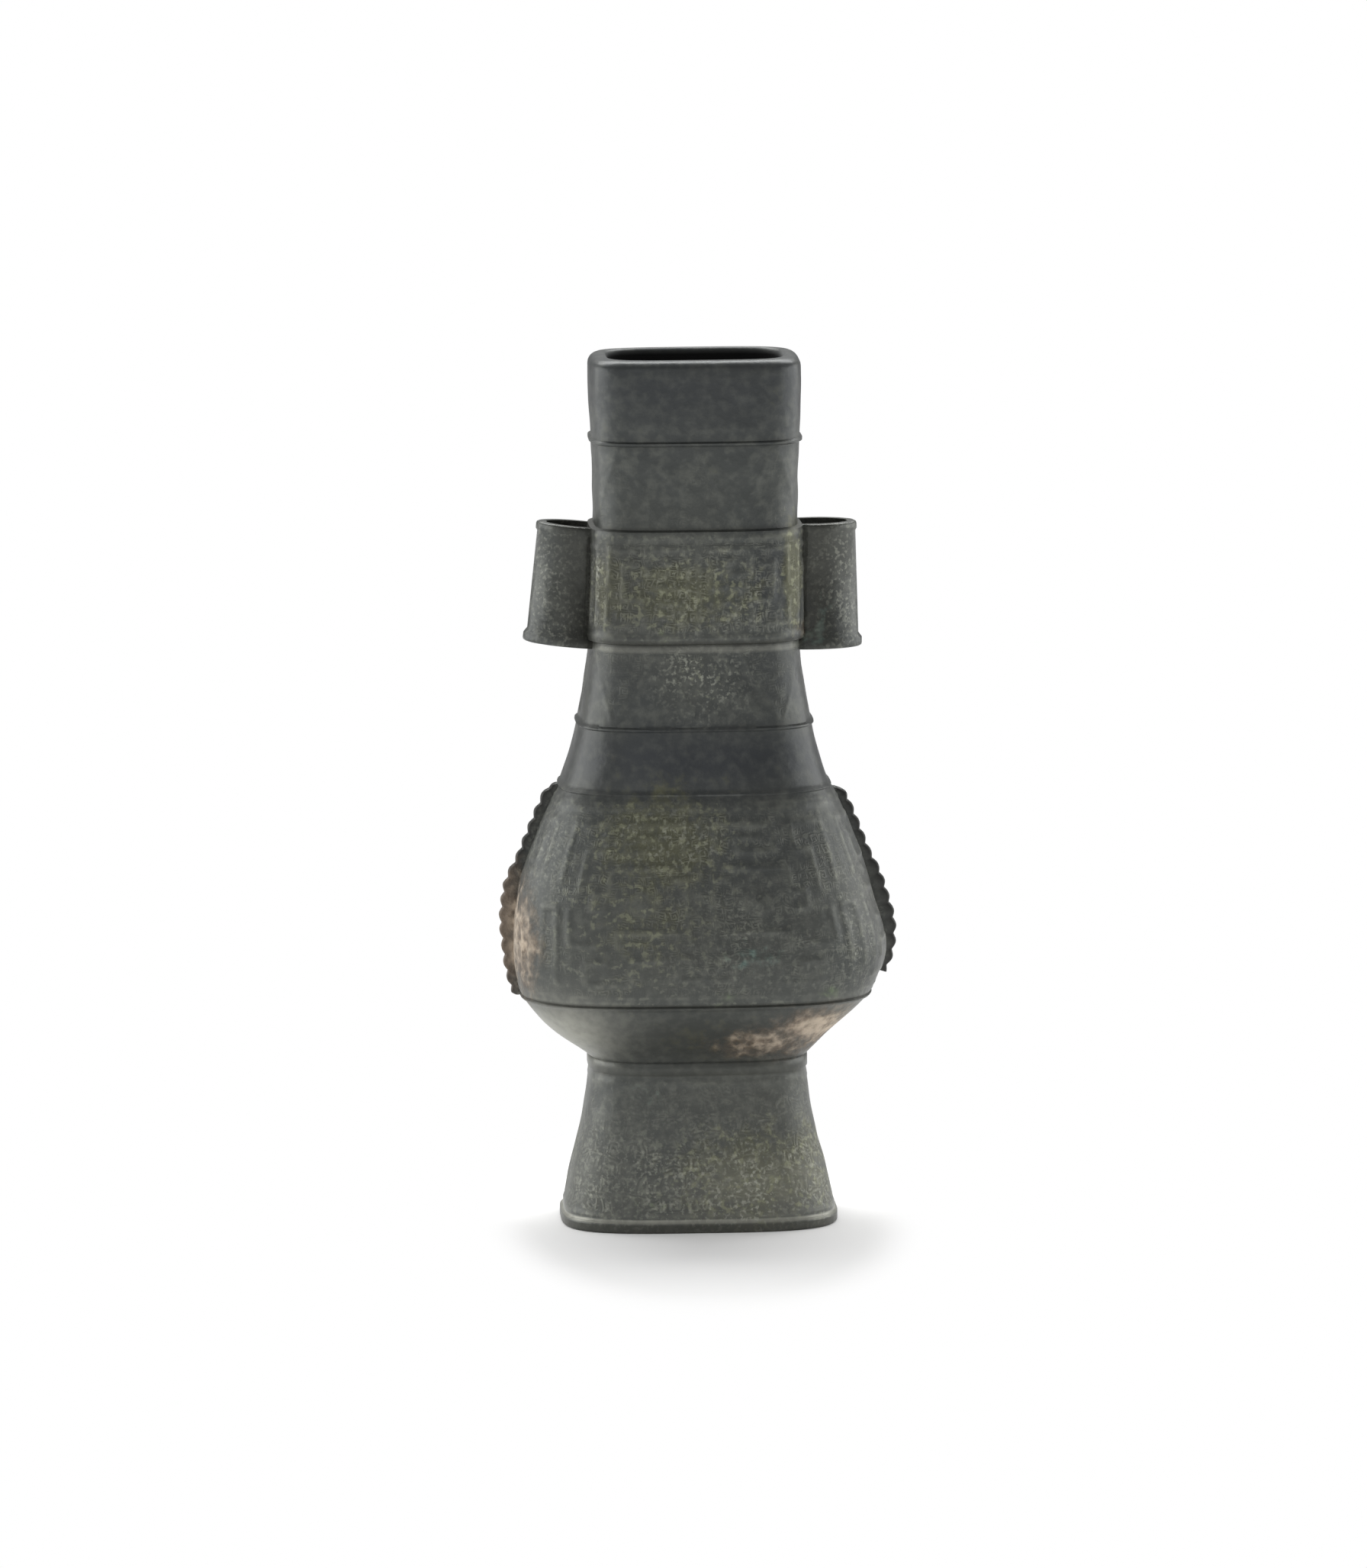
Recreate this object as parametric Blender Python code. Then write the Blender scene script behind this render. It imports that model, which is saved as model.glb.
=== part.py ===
"""Arrow vase: a flattened bronze vase on a spreading foot, with two tubular lugs for arrows at the
neck and a notched flange down each side of the belly. It is one hollow casting. Units are metres,
+Z is up, the broad faces look along -Y and +Y, and the origin is under the middle of the vase."""

import math

import bmesh
import bpy

# Heights of the zones, from the foot up
FOOT_RIM_HEIGHT = 0.0036
FOOT_FLARE_HEIGHT = 0.0449
COLLAR_HEIGHT = 0.0040
CONE_HEIGHT = 0.0192
BELLY_BAND_HEIGHT = 0.0653
SHOULDER_HEIGHT = 0.0195
LOWER_NECK_HEIGHT = 0.0260
LUG_BAND_HEIGHT = 0.0355
UPPER_NECK_HEIGHT = 0.0265
MOUTH_BAND_HEIGHT = 0.0255

# Widths of the plain body, measured across the two flanges' sides
FOOT_RIM_WIDTH = 0.0860
FOOT_WIDTH = 0.0842
FOOT_LOW_WIDTH = 0.0787
FOOT_MIDDLE_WIDTH = 0.0736
WAIST_WIDTH = 0.0673
BORDER_WIDTH = 0.1082
BELLY_WIDTH = 0.1154
BELLY_MIDDLE_WIDTH = 0.1089
BELLY_UPPER_WIDTH = 0.0982
BELLY_HEAD_WIDTH = 0.0884
SHOULDER_WIDTH = 0.0834
STRING_WIDTH = 0.0722
LOWER_NECK_WIDTH = 0.0645
NECK_WIDTH = 0.0626
MOUTH_WIDTH = 0.0653

# Where the widest, narrowest and middle sections lie; the belly's as shares of its band's height,
# with the ends of the flanges' full depth and the start of their narrow heads
BELLY_CREST_SHARE = 0.219
BELLY_MIDDLE_SHARE = 0.524
BELLY_UPPER_SHARE = 0.758
BELLY_HEAD_SHARE = 0.933
FLANGE_FULL_LOW_SHARE = 0.357
FLANGE_FULL_HIGH_SHARE = 0.487
FLANGE_HEAD_SHARE = 0.663
NECK_THROAT_RISE = 0.0060
FOOT_LOW_RISE = 0.0142
FOOT_MIDDLE_RISE = 0.0238
LIP_DROP = 0.0040
FOOT_RIM_FACE = 0.0030
FOOT_RIM_BEVEL = 0.0005

# Sections are rounded oblongs: depth over width, and how square each one is (2 is an ellipse)
FLATNESS = 0.70
FOOT_SQUARENESS = 3.5
WAIST_SQUARENESS = 3.4
BELLY_SQUARENESS = 2.9
NECK_SQUARENESS = 3.6
MOUTH_SQUARENESS = 4.2
CONE_SWELL = 0.55
CONE_EASE = 1.3

# How far the casting's middle strays to the side: its two sides aren't quite alike
FOOT_SWAY = -0.0003
WAIST_SWAY = -0.0006
CONE_SWAY = -0.0022
CONE_SWAY_SHARE = 0.45
BORDER_SWAY = -0.0011
BELLY_SWAY = 0.0003
BELLY_MIDDLE_SWAY = -0.0011
SHOULDER_SWAY = -0.0009
LOWER_NECK_SWAY = -0.0006
NECK_SWAY = -0.0001

# Raised bands and strings: how far each stands proud, and its height
COLLAR_PROUD = 0.00045
BORDER_STRING_HEIGHT = 0.0015
BORDER_STRING_PROUD = 0.0006
SHOULDER_STRING_HEIGHT = 0.0012
SHOULDER_STRING_PROUD = 0.0005
NECK_STRING_HEIGHT = 0.0015
NECK_STRING_PROUD = 0.0007
LUG_BAND_PROUD = 0.0015
MOUTH_STRING_HEIGHT = 0.0016
MOUTH_STRING_PROUD = 0.0009
BAND_BEVEL = 0.0005

# Walls, lip and floor
WALL = 0.0035
LIP_THICKNESS = 0.0060
LIP_TAPER_HEIGHT = 0.0140
LIP_ROUNDING = 0.0031
LIP_INNER_BEVEL = 0.0008
FOOT_WALL = 0.0040
FLOOR_RISE = 0.0035
FLOOR_THICKNESS = 0.0045
FLOOR_ROUNDING = 0.0020

# Tubular lugs, open at both ends
LUG_STANDOFF = 0.0172
LUG_TOP_RADIUS = 0.0130
LUG_BOTTOM_RADIUS = 0.0136
LUG_FLATNESS = 0.72
LUG_WALL = 0.0024
LUG_TOP_DROP = 0.0003
LEFT_LUG_FOOT_DROP = 0.0021
RIGHT_LUG_FOOT_DROP = 0.0036
LUG_TOP_COLLAR_HEIGHT = 0.0026
LUG_TOP_COLLAR_PROUD = 0.0005
LUG_FOOT_COLLAR_HEIGHT = 0.0025
LUG_FOOT_COLLAR_PROUD = 0.0010
LUG_EDGE_BEVEL = 0.0004
LEFT_LUG_LEAN = math.radians(5.6)
RIGHT_LUG_LEAN = math.radians(0.5)

# Notched flanges down the sides of the belly
FLANGE_THICKNESS = 0.0040
FLANGE_ROOT = 0.0012
FLANGE_HEAD_DEPTH = 0.0022
FLANGE_FULL_DEPTH = 0.0037
FLANGE_CREST_DEPTH = 0.0027
FLANGE_FOOT_DEPTH = 0.0019
FLANGE_TOOTH = 0.0009
FLANGE_TOOTH_SHARPNESS = 1.2
FLANGE_PITCH = 0.0046
FLANGE_HEAD_TAPER = 0.0035
FLANGE_FOOT_TAPER = 0.0015
LEFT_FLANGE_FOOT_RISE = -0.0005
LEFT_FLANGE_HEAD_DROP = 0.0
RIGHT_FLANGE_FOOT_RISE = 0.0055
RIGHT_FLANGE_HEAD_DROP = 0.0023

# Fineness of the facets
SECTION_SEGMENTS = 48
LUG_SEGMENTS = 28
LIP_STEPS = 4
TOOTH_STEPS = 4
CUT_OVERRUN = 0.0020
RING_SPACING = {
    "foot": 0.0084,
    "cone": 0.0052,
    "belly": 0.0059,
    "neck": 0.0095,
    "lug band": 0.0190,
    "cavity cone": 0.0104,
    "cavity belly": 0.0118,
    "cavity": 0.0180,
}
OUTLINE_MERGE = 0.00002
SHARP_EDGE_ANGLE = math.radians(35)

# Borders between the zones, stacked from the floor up
RIM_TOP = FOOT_RIM_HEIGHT
FOOT_TOP = RIM_TOP + FOOT_FLARE_HEIGHT
WAIST = FOOT_TOP + COLLAR_HEIGHT
BORDER = WAIST + CONE_HEIGHT
BELLY_CREST = BORDER + BELLY_BAND_HEIGHT * BELLY_CREST_SHARE
BELLY_TOP = BORDER + BELLY_BAND_HEIGHT
SHOULDER_TOP = BELLY_TOP + SHOULDER_HEIGHT
LUG_BAND_FOOT = SHOULDER_TOP + LOWER_NECK_HEIGHT
LUG_BAND_TOP = LUG_BAND_FOOT + LUG_BAND_HEIGHT
MOUTH_BAND_FOOT = LUG_BAND_TOP + UPPER_NECK_HEIGHT
MOUTH = MOUTH_BAND_FOOT + MOUTH_BAND_HEIGHT
FLOOR_TOP = WAIST + FLOOR_RISE
FLOOR_UNDERSIDE = FLOOR_TOP - FLOOR_THICKNESS

# Stations of the smooth stretches: height and half width
FOOT_STATIONS = [
    (RIM_TOP, FOOT_WIDTH / 2),
    (RIM_TOP + FOOT_LOW_RISE, FOOT_LOW_WIDTH / 2),
    (RIM_TOP + FOOT_MIDDLE_RISE, FOOT_MIDDLE_WIDTH / 2),
    (FOOT_TOP, WAIST_WIDTH / 2),
]
BODY_STATIONS = [
    (BORDER, BORDER_WIDTH / 2),
    (BELLY_CREST, BELLY_WIDTH / 2),
    (BORDER + BELLY_BAND_HEIGHT * BELLY_MIDDLE_SHARE, BELLY_MIDDLE_WIDTH / 2),
    (BORDER + BELLY_BAND_HEIGHT * BELLY_UPPER_SHARE, BELLY_UPPER_WIDTH / 2),
    (BORDER + BELLY_BAND_HEIGHT * BELLY_HEAD_SHARE, BELLY_HEAD_WIDTH / 2),
    (BELLY_TOP, SHOULDER_WIDTH / 2),
    (SHOULDER_TOP, STRING_WIDTH / 2),
    (LUG_BAND_FOOT, LOWER_NECK_WIDTH / 2),
    (LUG_BAND_TOP + NECK_THROAT_RISE, NECK_WIDTH / 2),
    (MOUTH - LIP_DROP, MOUTH_WIDTH / 2),
    (MOUTH, MOUTH_WIDTH / 2),
]
SQUARENESS_STATIONS = [
    (RIM_TOP, FOOT_SQUARENESS),
    (WAIST, WAIST_SQUARENESS),
    (BELLY_CREST, BELLY_SQUARENESS),
    (LUG_BAND_FOOT, NECK_SQUARENESS),
    (MOUTH, MOUTH_SQUARENESS),
]

# Sideways (+X) place of the section's middle at some heights
SWAY_STATIONS = [
    (0.0, FOOT_SWAY),
    (WAIST, WAIST_SWAY),
    (WAIST + CONE_HEIGHT * CONE_SWAY_SHARE, CONE_SWAY),
    (BORDER, BORDER_SWAY),
    (BELLY_CREST, BELLY_SWAY),
    (BORDER + BELLY_BAND_HEIGHT * BELLY_MIDDLE_SHARE, BELLY_MIDDLE_SWAY),
    (BELLY_TOP, SHOULDER_SWAY),
    (LUG_BAND_FOOT, LOWER_NECK_SWAY),
    (LUG_BAND_TOP, NECK_SWAY),
    (MOUTH, NECK_SWAY),
]

# How far a flange stands out between its teeth at some heights
FLANGE_STATIONS = [
    (BORDER, FLANGE_FOOT_DEPTH),
    (BELLY_CREST, FLANGE_CREST_DEPTH),
    (BORDER + BELLY_BAND_HEIGHT * FLANGE_FULL_LOW_SHARE, FLANGE_FULL_DEPTH),
    (BORDER + BELLY_BAND_HEIGHT * FLANGE_FULL_HIGH_SHARE, FLANGE_FULL_DEPTH),
    (BORDER + BELLY_BAND_HEIGHT * FLANGE_HEAD_SHARE, FLANGE_HEAD_DEPTH),
    (BELLY_TOP, FLANGE_HEAD_DEPTH),
]


def string_at(middle, height, proud):
    """A raised string round the body: its foot, its top and how far it stands proud."""
    return (middle - height / 2, middle + height / 2, proud)


# Raised bands: foot, top and how far each stands proud
RAISED_BANDS = [
    (FOOT_TOP, WAIST, COLLAR_PROUD),
    string_at(BORDER, BORDER_STRING_HEIGHT, BORDER_STRING_PROUD),
    string_at(BELLY_TOP, SHOULDER_STRING_HEIGHT, SHOULDER_STRING_PROUD),
    string_at(SHOULDER_TOP, NECK_STRING_HEIGHT, NECK_STRING_PROUD),
    (LUG_BAND_FOOT, LUG_BAND_TOP, LUG_BAND_PROUD),
    string_at(MOUTH_BAND_FOOT, MOUTH_STRING_HEIGHT, MOUTH_STRING_PROUD),
]


def end_slope(near_step, near_rise, far_step, far_rise):
    """Slope at an end of a smooth stretch, from its two nearest steps, without overshoot."""
    slope = ((2 * near_step + far_step) * near_rise - near_step * far_rise) / (near_step + far_step)
    if slope * near_rise <= 0.0:
        return 0.0
    if near_rise * far_rise <= 0.0 and abs(slope) > 3 * abs(near_rise):
        return 3 * near_rise
    return slope


def station_slopes(stations):
    """Slope at each station, so that a cubic through them bulges only where they do."""
    steps = [high[0] - low[0] for low, high in zip(stations, stations[1:])]
    rises = [(high[1] - low[1]) / step for low, high, step in zip(stations, stations[1:], steps)]
    slopes = [end_slope(steps[0], rises[0], steps[1], rises[1])]
    for index in range(1, len(steps)):
        before, after = rises[index - 1], rises[index]
        if before * after <= 0.0:
            slopes.append(0.0)
            continue
        before_weight = 2 * steps[index] + steps[index - 1]
        after_weight = steps[index] + 2 * steps[index - 1]
        total = before_weight + after_weight
        slopes.append(total / (before_weight / before + after_weight / after))
    slopes.append(end_slope(steps[-1], rises[-1], steps[-2], rises[-2]))
    return slopes


def smooth_through(stations, height):
    """Value at a height of the smooth curve through the stations."""
    slopes = station_slopes(stations)
    height = min(max(height, stations[0][0]), stations[-1][0])
    index = 0
    while index < len(stations) - 2 and height > stations[index + 1][0]:
        index += 1
    (low, low_value), (high, high_value) = stations[index], stations[index + 1]
    step = high - low
    share = (height - low) / step
    rest = 1 - share
    values = (1 + 2 * share) * rest ** 2 * low_value + share ** 2 * (3 - 2 * share) * high_value
    bends = share * rest ** 2 * slopes[index] - share ** 2 * rest * slopes[index + 1]
    return values + bends * step


def rim_half_width(height):
    """Half width of the foot rim: an upright face under a slope that runs up to the foot."""
    if height < FOOT_RIM_BEVEL:
        return FOOT_RIM_WIDTH / 2 - FOOT_RIM_BEVEL + height
    if height <= FOOT_RIM_FACE:
        return FOOT_RIM_WIDTH / 2
    share = (height - FOOT_RIM_FACE) / (RIM_TOP - FOOT_RIM_FACE)
    return FOOT_RIM_WIDTH / 2 - (FOOT_RIM_WIDTH - FOOT_WIDTH) / 2 * share


def cone_half_width(height):
    """Half width of the swelling cone between the waist and the belly's lower border."""
    share = (height - WAIST) / CONE_HEIGHT
    swollen = share ** CONE_EASE + CONE_SWELL * share * (1 - share)
    return (WAIST_WIDTH + (BORDER_WIDTH - WAIST_WIDTH) * swollen) / 2


def half_width(height):
    """Half width of the plain body at a height, without the bands that stand proud of it."""
    if height < RIM_TOP:
        return rim_half_width(height)
    if height < FOOT_TOP:
        return smooth_through(FOOT_STATIONS, height)
    if height < WAIST:
        return WAIST_WIDTH / 2
    if height < BORDER:
        return cone_half_width(height)
    return smooth_through(BODY_STATIONS, height)


def width_slope(height):
    """How fast the half width grows with height."""
    reach = BAND_BEVEL
    return (half_width(height + reach) - half_width(height - reach)) / (2 * reach)


def proud_at(height):
    """How far the raised bands stand out at a height."""
    proud = 0.0
    for foot, top, rise in RAISED_BANDS:
        inside = min(height - foot, top - height) / BAND_BEVEL
        proud = max(proud, rise * min(max(inside, 0.0), 1.0))
    return proud


def steps_between(low, high, spacing):
    """Evenly spaced heights from low to high, no further apart than the spacing."""
    count = max(1, math.ceil((high - low) / spacing - 1e-6))
    return [low + (high - low) * step / count for step in range(count + 1)]


def distinct(heights):
    """The heights in order, each one once."""
    ordered = []
    for height in sorted(heights):
        if not ordered or height - ordered[-1] > BAND_BEVEL / 4:
            ordered.append(height)
    return ordered


def section(height, width, depth, squareness):
    """One rounded oblong section as a ring of points, with more of them round its corners."""
    middle = smooth_through(SWAY_STATIONS, height)
    ring = []
    for index in range(SECTION_SEGMENTS):
        angle = 2 * math.pi * index / SECTION_SEGMENTS
        across, along = math.cos(angle), math.sin(angle)
        x = math.copysign(abs(across) ** (2 / squareness), across) * width
        y = math.copysign(abs(along) ** (2 / squareness), along) * depth
        ring.append((middle + x, y, height))
    return ring


def body_section(height, growth):
    """The body's section at a height, grown (or shrunk, below zero) evenly all round."""
    half = half_width(height)
    squareness = smooth_through(SQUARENESS_STATIONS, height)
    return section(height, half + growth, half * FLATNESS + growth, squareness)


def wall_growth(height, wall):
    """Growth that leaves a wall of this thickness, measured square to the sloping surface."""
    return -wall * math.hypot(1.0, width_slope(height))


def hidden_collection():
    """The collection of the shapes that are joined to the casting or cut from it."""
    return bpy.data.collections["vase_helpers"]


def add_helper(name, mesh):
    """Put a shape that the casting's modifiers use among the hidden helpers."""
    helper = bpy.data.objects.new(name, mesh)
    helper.hide_render = True
    helper.display_type = "WIRE"
    hidden_collection().objects.link(helper)
    return helper


def loft(name, rings):
    """A closed mesh through a stack of rings, lowest first."""
    form = bmesh.new()
    loops = [[form.verts.new(point) for point in ring] for ring in rings]
    form.faces.new(list(reversed(loops[0])))
    form.faces.new(loops[-1])
    for lower, upper in zip(loops, loops[1:]):
        for index in range(len(lower)):
            after = (index + 1) % len(lower)
            form.faces.new((lower[index], lower[after], upper[after], upper[index]))
    mesh = bpy.data.meshes.new(name)
    form.to_mesh(mesh)
    form.free()
    return mesh


def outer_heights():
    """Heights of the outer skin's rings: spaced along each zone, and at each band's corners."""
    band_low, band_high = LUG_BAND_FOOT + BAND_BEVEL, LUG_BAND_TOP - BAND_BEVEL
    heights = [0.0, FOOT_RIM_BEVEL, FOOT_RIM_FACE]
    heights += steps_between(RIM_TOP, FOOT_TOP, RING_SPACING["foot"])
    heights += steps_between(WAIST, BORDER, RING_SPACING["cone"])
    heights += steps_between(BORDER, BELLY_TOP, RING_SPACING["belly"])
    heights += steps_between(BELLY_TOP, SHOULDER_TOP, RING_SPACING["neck"])
    heights += steps_between(SHOULDER_TOP, LUG_BAND_FOOT, RING_SPACING["neck"])
    heights += steps_between(band_low, band_high, RING_SPACING["lug band"])
    heights += steps_between(LUG_BAND_TOP, MOUTH_BAND_FOOT, RING_SPACING["neck"])
    heights += steps_between(MOUTH_BAND_FOOT, MOUTH - LIP_ROUNDING, RING_SPACING["neck"])
    for foot, top, _ in RAISED_BANDS:
        heights += [foot, foot + BAND_BEVEL, top - BAND_BEVEL, top]
    return distinct(heights)


def lip_rings():
    """Rings round the outer edge of the lip, which is rounded over."""
    rings = []
    for step in range(1, LIP_STEPS + 1):
        angle = math.pi / 2 * step / LIP_STEPS
        height = MOUTH - LIP_ROUNDING * (1 - math.sin(angle))
        rings.append(body_section(height, -LIP_ROUNDING * (1 - math.cos(angle))))
    return rings


def outer_skin():
    """The whole outer form of the body as one closed solid."""
    rings = [body_section(height, proud_at(height)) for height in outer_heights()]
    return loft("arrow_vase", rings + lip_rings())


def make_cavity():
    """The hollow inside the vase, open at the mouth."""
    floor_edge = FLOOR_TOP + FLOOR_ROUNDING
    heights = steps_between(floor_edge, BORDER - WALL, RING_SPACING["cavity cone"])
    heights += steps_between(BORDER + WALL, BELLY_TOP, RING_SPACING["cavity belly"])
    heights += steps_between(BELLY_TOP, MOUTH - LIP_TAPER_HEIGHT, RING_SPACING["cavity"])[1:]
    rings = [body_section(FLOOR_TOP, wall_growth(FLOOR_TOP, WALL) - FLOOR_ROUNDING)]
    for height in heights:
        rings.append(body_section(height, wall_growth(height, WALL)))
    rings.append(body_section(MOUTH - LIP_INNER_BEVEL, -LIP_THICKNESS))
    rings.append(body_section(MOUTH, LIP_INNER_BEVEL - LIP_THICKNESS))
    over = [(x, y, MOUTH + CUT_OVERRUN) for x, y, _ in rings[-1]]
    return add_helper("cavity", loft("cavity", rings + [over]))


def make_foot_hollow():
    """The hollow under the floor, open at the bottom of the foot."""
    rings = []
    for height in steps_between(0.0, FLOOR_UNDERSIDE - FLOOR_ROUNDING, RING_SPACING["cavity"]):
        half = smooth_through(FOOT_STATIONS, height) - FOOT_WALL
        squareness = smooth_through(SQUARENESS_STATIONS, height)
        depth = smooth_through(FOOT_STATIONS, height) * FLATNESS - FOOT_WALL
        rings.append(section(height, half, depth, squareness))
    half = WAIST_WIDTH / 2 - FOOT_WALL - FLOOR_ROUNDING
    depth = WAIST_WIDTH / 2 * FLATNESS - FOOT_WALL - FLOOR_ROUNDING
    rings.append(section(FLOOR_UNDERSIDE, half, depth, WAIST_SQUARENESS))
    under = [(x, y, -CUT_OVERRUN) for x, y, _ in rings[0]]
    return add_helper("foot_hollow", loft("foot_hollow", [under] + rings))


def lug_profile(half):
    """Half section of a lug's tube as a closed loop, down the outside and then up the bore.
    Each point gives the radius of the plain tube, how far the point stands out from it, and a height."""
    top, foot = LUG_TOP_RADIUS, LUG_BOTTOM_RADIUS
    bevel = LUG_EDGE_BEVEL
    return [
        (top, LUG_TOP_COLLAR_PROUD - bevel, half),
        (top, LUG_TOP_COLLAR_PROUD, half - bevel),
        (top, LUG_TOP_COLLAR_PROUD, half - LUG_TOP_COLLAR_HEIGHT),
        (top, 0.0, half - LUG_TOP_COLLAR_HEIGHT - bevel),
        (foot, 0.0, -half + LUG_FOOT_COLLAR_HEIGHT + bevel + LUG_FOOT_COLLAR_PROUD),
        (foot, LUG_FOOT_COLLAR_PROUD, -half + LUG_FOOT_COLLAR_HEIGHT),
        (foot, LUG_FOOT_COLLAR_PROUD, -half + bevel),
        (foot, LUG_FOOT_COLLAR_PROUD - bevel, -half),
        (foot, -LUG_WALL, -half),
        (top, -LUG_WALL, half),
    ]


def oval_tube(name, profile):
    """A closed mesh from a closed profile carried round an oval, with an even wall all round."""
    form = bmesh.new()
    loops = []
    for radius, growth, height in profile:
        loop = []
        for index in range(LUG_SEGMENTS):
            angle = 2 * math.pi * index / LUG_SEGMENTS
            x = (radius + growth) * math.cos(angle)
            y = (radius * LUG_FLATNESS + growth) * math.sin(angle)
            loop.append(form.verts.new((x, y, height)))
        loops.append(loop)
    for upper, lower in zip(loops, loops[1:] + loops[:1]):
        for index in range(LUG_SEGMENTS):
            after = (index + 1) % LUG_SEGMENTS
            form.faces.new((lower[index], lower[after], upper[after], upper[index]))
    mesh = bpy.data.meshes.new(name)
    form.to_mesh(mesh)
    form.free()
    return mesh


def make_lug(name, side, lean, foot_drop):
    """One tubular lug, open at both ends, set against the side of the neck."""
    foot, top = LUG_BAND_FOOT - foot_drop, LUG_BAND_TOP - LUG_TOP_DROP
    lug = add_helper(name, oval_tube(name, lug_profile((top - foot) / 2)))
    middle = (foot + top) / 2
    radius = (LUG_TOP_RADIUS + LUG_BOTTOM_RADIUS) / 2
    reach = half_width(middle) + LUG_BAND_PROUD + LUG_STANDOFF
    lug.location = (smooth_through(SWAY_STATIONS, middle) + side * (reach - radius), 0.0, middle)
    lug.rotation_euler = (0.0, -side * lean, 0.0)
    return lug


def beside_profile(height, offset):
    """A point this far out from the body's side, measured square to it, as width and height."""
    slope = width_slope(height)
    length = math.hypot(1.0, slope)
    return half_width(height) + offset / length, height - offset * slope / length


def flange_offset(height, foot, top, blunt_foot):
    """How far the flange's notched edge stands out from the body at a height."""
    phase = (height - BELLY_CREST) / FLANGE_PITCH + 0.5
    tooth = abs(math.sin(math.pi * phase)) ** FLANGE_TOOTH_SHARPNESS
    fade = min(1.0, (top - height) / FLANGE_HEAD_TAPER)
    if not blunt_foot:
        fade = min(fade, (height - foot) / FLANGE_FOOT_TAPER)
    depth = smooth_through(FLANGE_STATIONS, height)
    return (depth + FLANGE_TOOTH * tooth) * math.sqrt(max(fade, 0.0))


def flange_outline(foot, top, blunt_foot):
    """Outline of a flange, up its notched edge and back down inside the wall."""
    spacing = FLANGE_PITCH / TOOTH_STEPS
    first = math.ceil((foot - BELLY_CREST) / spacing - 0.5)
    last = math.floor((top - BELLY_CREST) / spacing + 0.5)
    outline = []
    for height in [foot] + [BELLY_CREST + index * spacing for index in range(first + 1, last)] + [top]:
        outline.append(beside_profile(height, flange_offset(height, foot, top, blunt_foot)))
    for height in reversed(steps_between(foot, top, RING_SPACING["belly"])):
        outline.append(beside_profile(height, -FLANGE_ROOT))
    return outline


def make_flange(name, side, foot, top, blunt_foot):
    """One notched flange: a flat outline given its thickness, made a mesh for the union."""
    outline = flange_outline(foot, top, blunt_foot)
    curve = bpy.data.curves.new(name + "_outline", "CURVE")
    curve.dimensions = "2D"
    curve.fill_mode = "BOTH"
    curve.extrude = FLANGE_THICKNESS / 2
    spline = curve.splines.new("POLY")
    spline.points.add(len(outline) - 1)
    for point, (width, height) in zip(spline.points, outline):
        middle = smooth_through(SWAY_STATIONS, height)
        point.co = (middle + side * width, height, 0.0, 1.0)
    spline.use_cyclic_u = True
    guide = bpy.data.objects.new(name + "_outline", curve)
    guide.rotation_euler = (math.pi / 2, 0.0, 0.0)
    hidden_collection().objects.link(guide)
    bpy.context.view_layer.update()
    evaluated = guide.evaluated_get(bpy.context.evaluated_depsgraph_get())
    mesh = bpy.data.meshes.new_from_object(evaluated)
    form = bmesh.new()
    form.from_mesh(mesh)
    bmesh.ops.remove_doubles(form, verts=form.verts, dist=OUTLINE_MERGE)
    bmesh.ops.recalc_face_normals(form, faces=form.faces)
    form.to_mesh(mesh)
    form.free()
    flange = add_helper(name, mesh)
    flange.matrix_world = guide.matrix_world
    bpy.data.objects.remove(guide)
    return flange


def bronze():
    """Dark grey-green bronze under an old patina."""
    material = bpy.data.materials.new("patinated_bronze")
    material.use_nodes = True
    shader = material.node_tree.nodes["Principled BSDF"]
    shader.inputs["Base Color"].default_value = (0.070, 0.082, 0.078, 1.0)
    shader.inputs["Metallic"].default_value = 0.35
    shader.inputs["Roughness"].default_value = 0.48
    return material


def boolean(target, tool, operation):
    """Join a helper to the casting, or cut it away."""
    step = target.modifiers.new(tool.name, "BOOLEAN")
    step.operation = operation
    step.solver = "EXACT"
    step.object = tool


def make_vase(collection):
    """The casting: the outer skin with its lugs and flanges, hollowed above and below the floor."""
    mesh = outer_skin()
    mesh.shade_smooth()
    mesh.set_sharp_from_angle(angle=SHARP_EDGE_ANGLE)
    mesh.materials.append(bronze())
    vase = bpy.data.objects.new("arrow_vase", mesh)
    collection.objects.link(vase)
    left_foot = BORDER + LEFT_FLANGE_FOOT_RISE
    left_top = BELLY_TOP - LEFT_FLANGE_HEAD_DROP
    right_foot = BORDER + RIGHT_FLANGE_FOOT_RISE
    right_top = BELLY_TOP - RIGHT_FLANGE_HEAD_DROP
    boolean(vase, make_lug("left_lug", -1, LEFT_LUG_LEAN, LEFT_LUG_FOOT_DROP), "UNION")
    boolean(vase, make_lug("right_lug", 1, RIGHT_LUG_LEAN, RIGHT_LUG_FOOT_DROP), "UNION")
    boolean(vase, make_flange("left_flange", -1, left_foot, left_top, False), "UNION")
    boolean(vase, make_flange("right_flange", 1, right_foot, right_top, True), "UNION")
    boolean(vase, make_cavity(), "DIFFERENCE")
    boolean(vase, make_foot_hollow(), "DIFFERENCE")
    return vase


def main():
    """Clear the scene and model the vase."""
    for item in list(bpy.data.objects):
        bpy.data.objects.remove(item, do_unlink=True)
    collection = bpy.data.collections.new("arrow_vase")
    helpers = bpy.data.collections.new("vase_helpers")
    bpy.context.scene.collection.children.link(collection)
    bpy.context.scene.collection.children.link(helpers)
    make_vase(collection)
    bpy.context.view_layer.update()


main()
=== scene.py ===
import math

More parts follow.
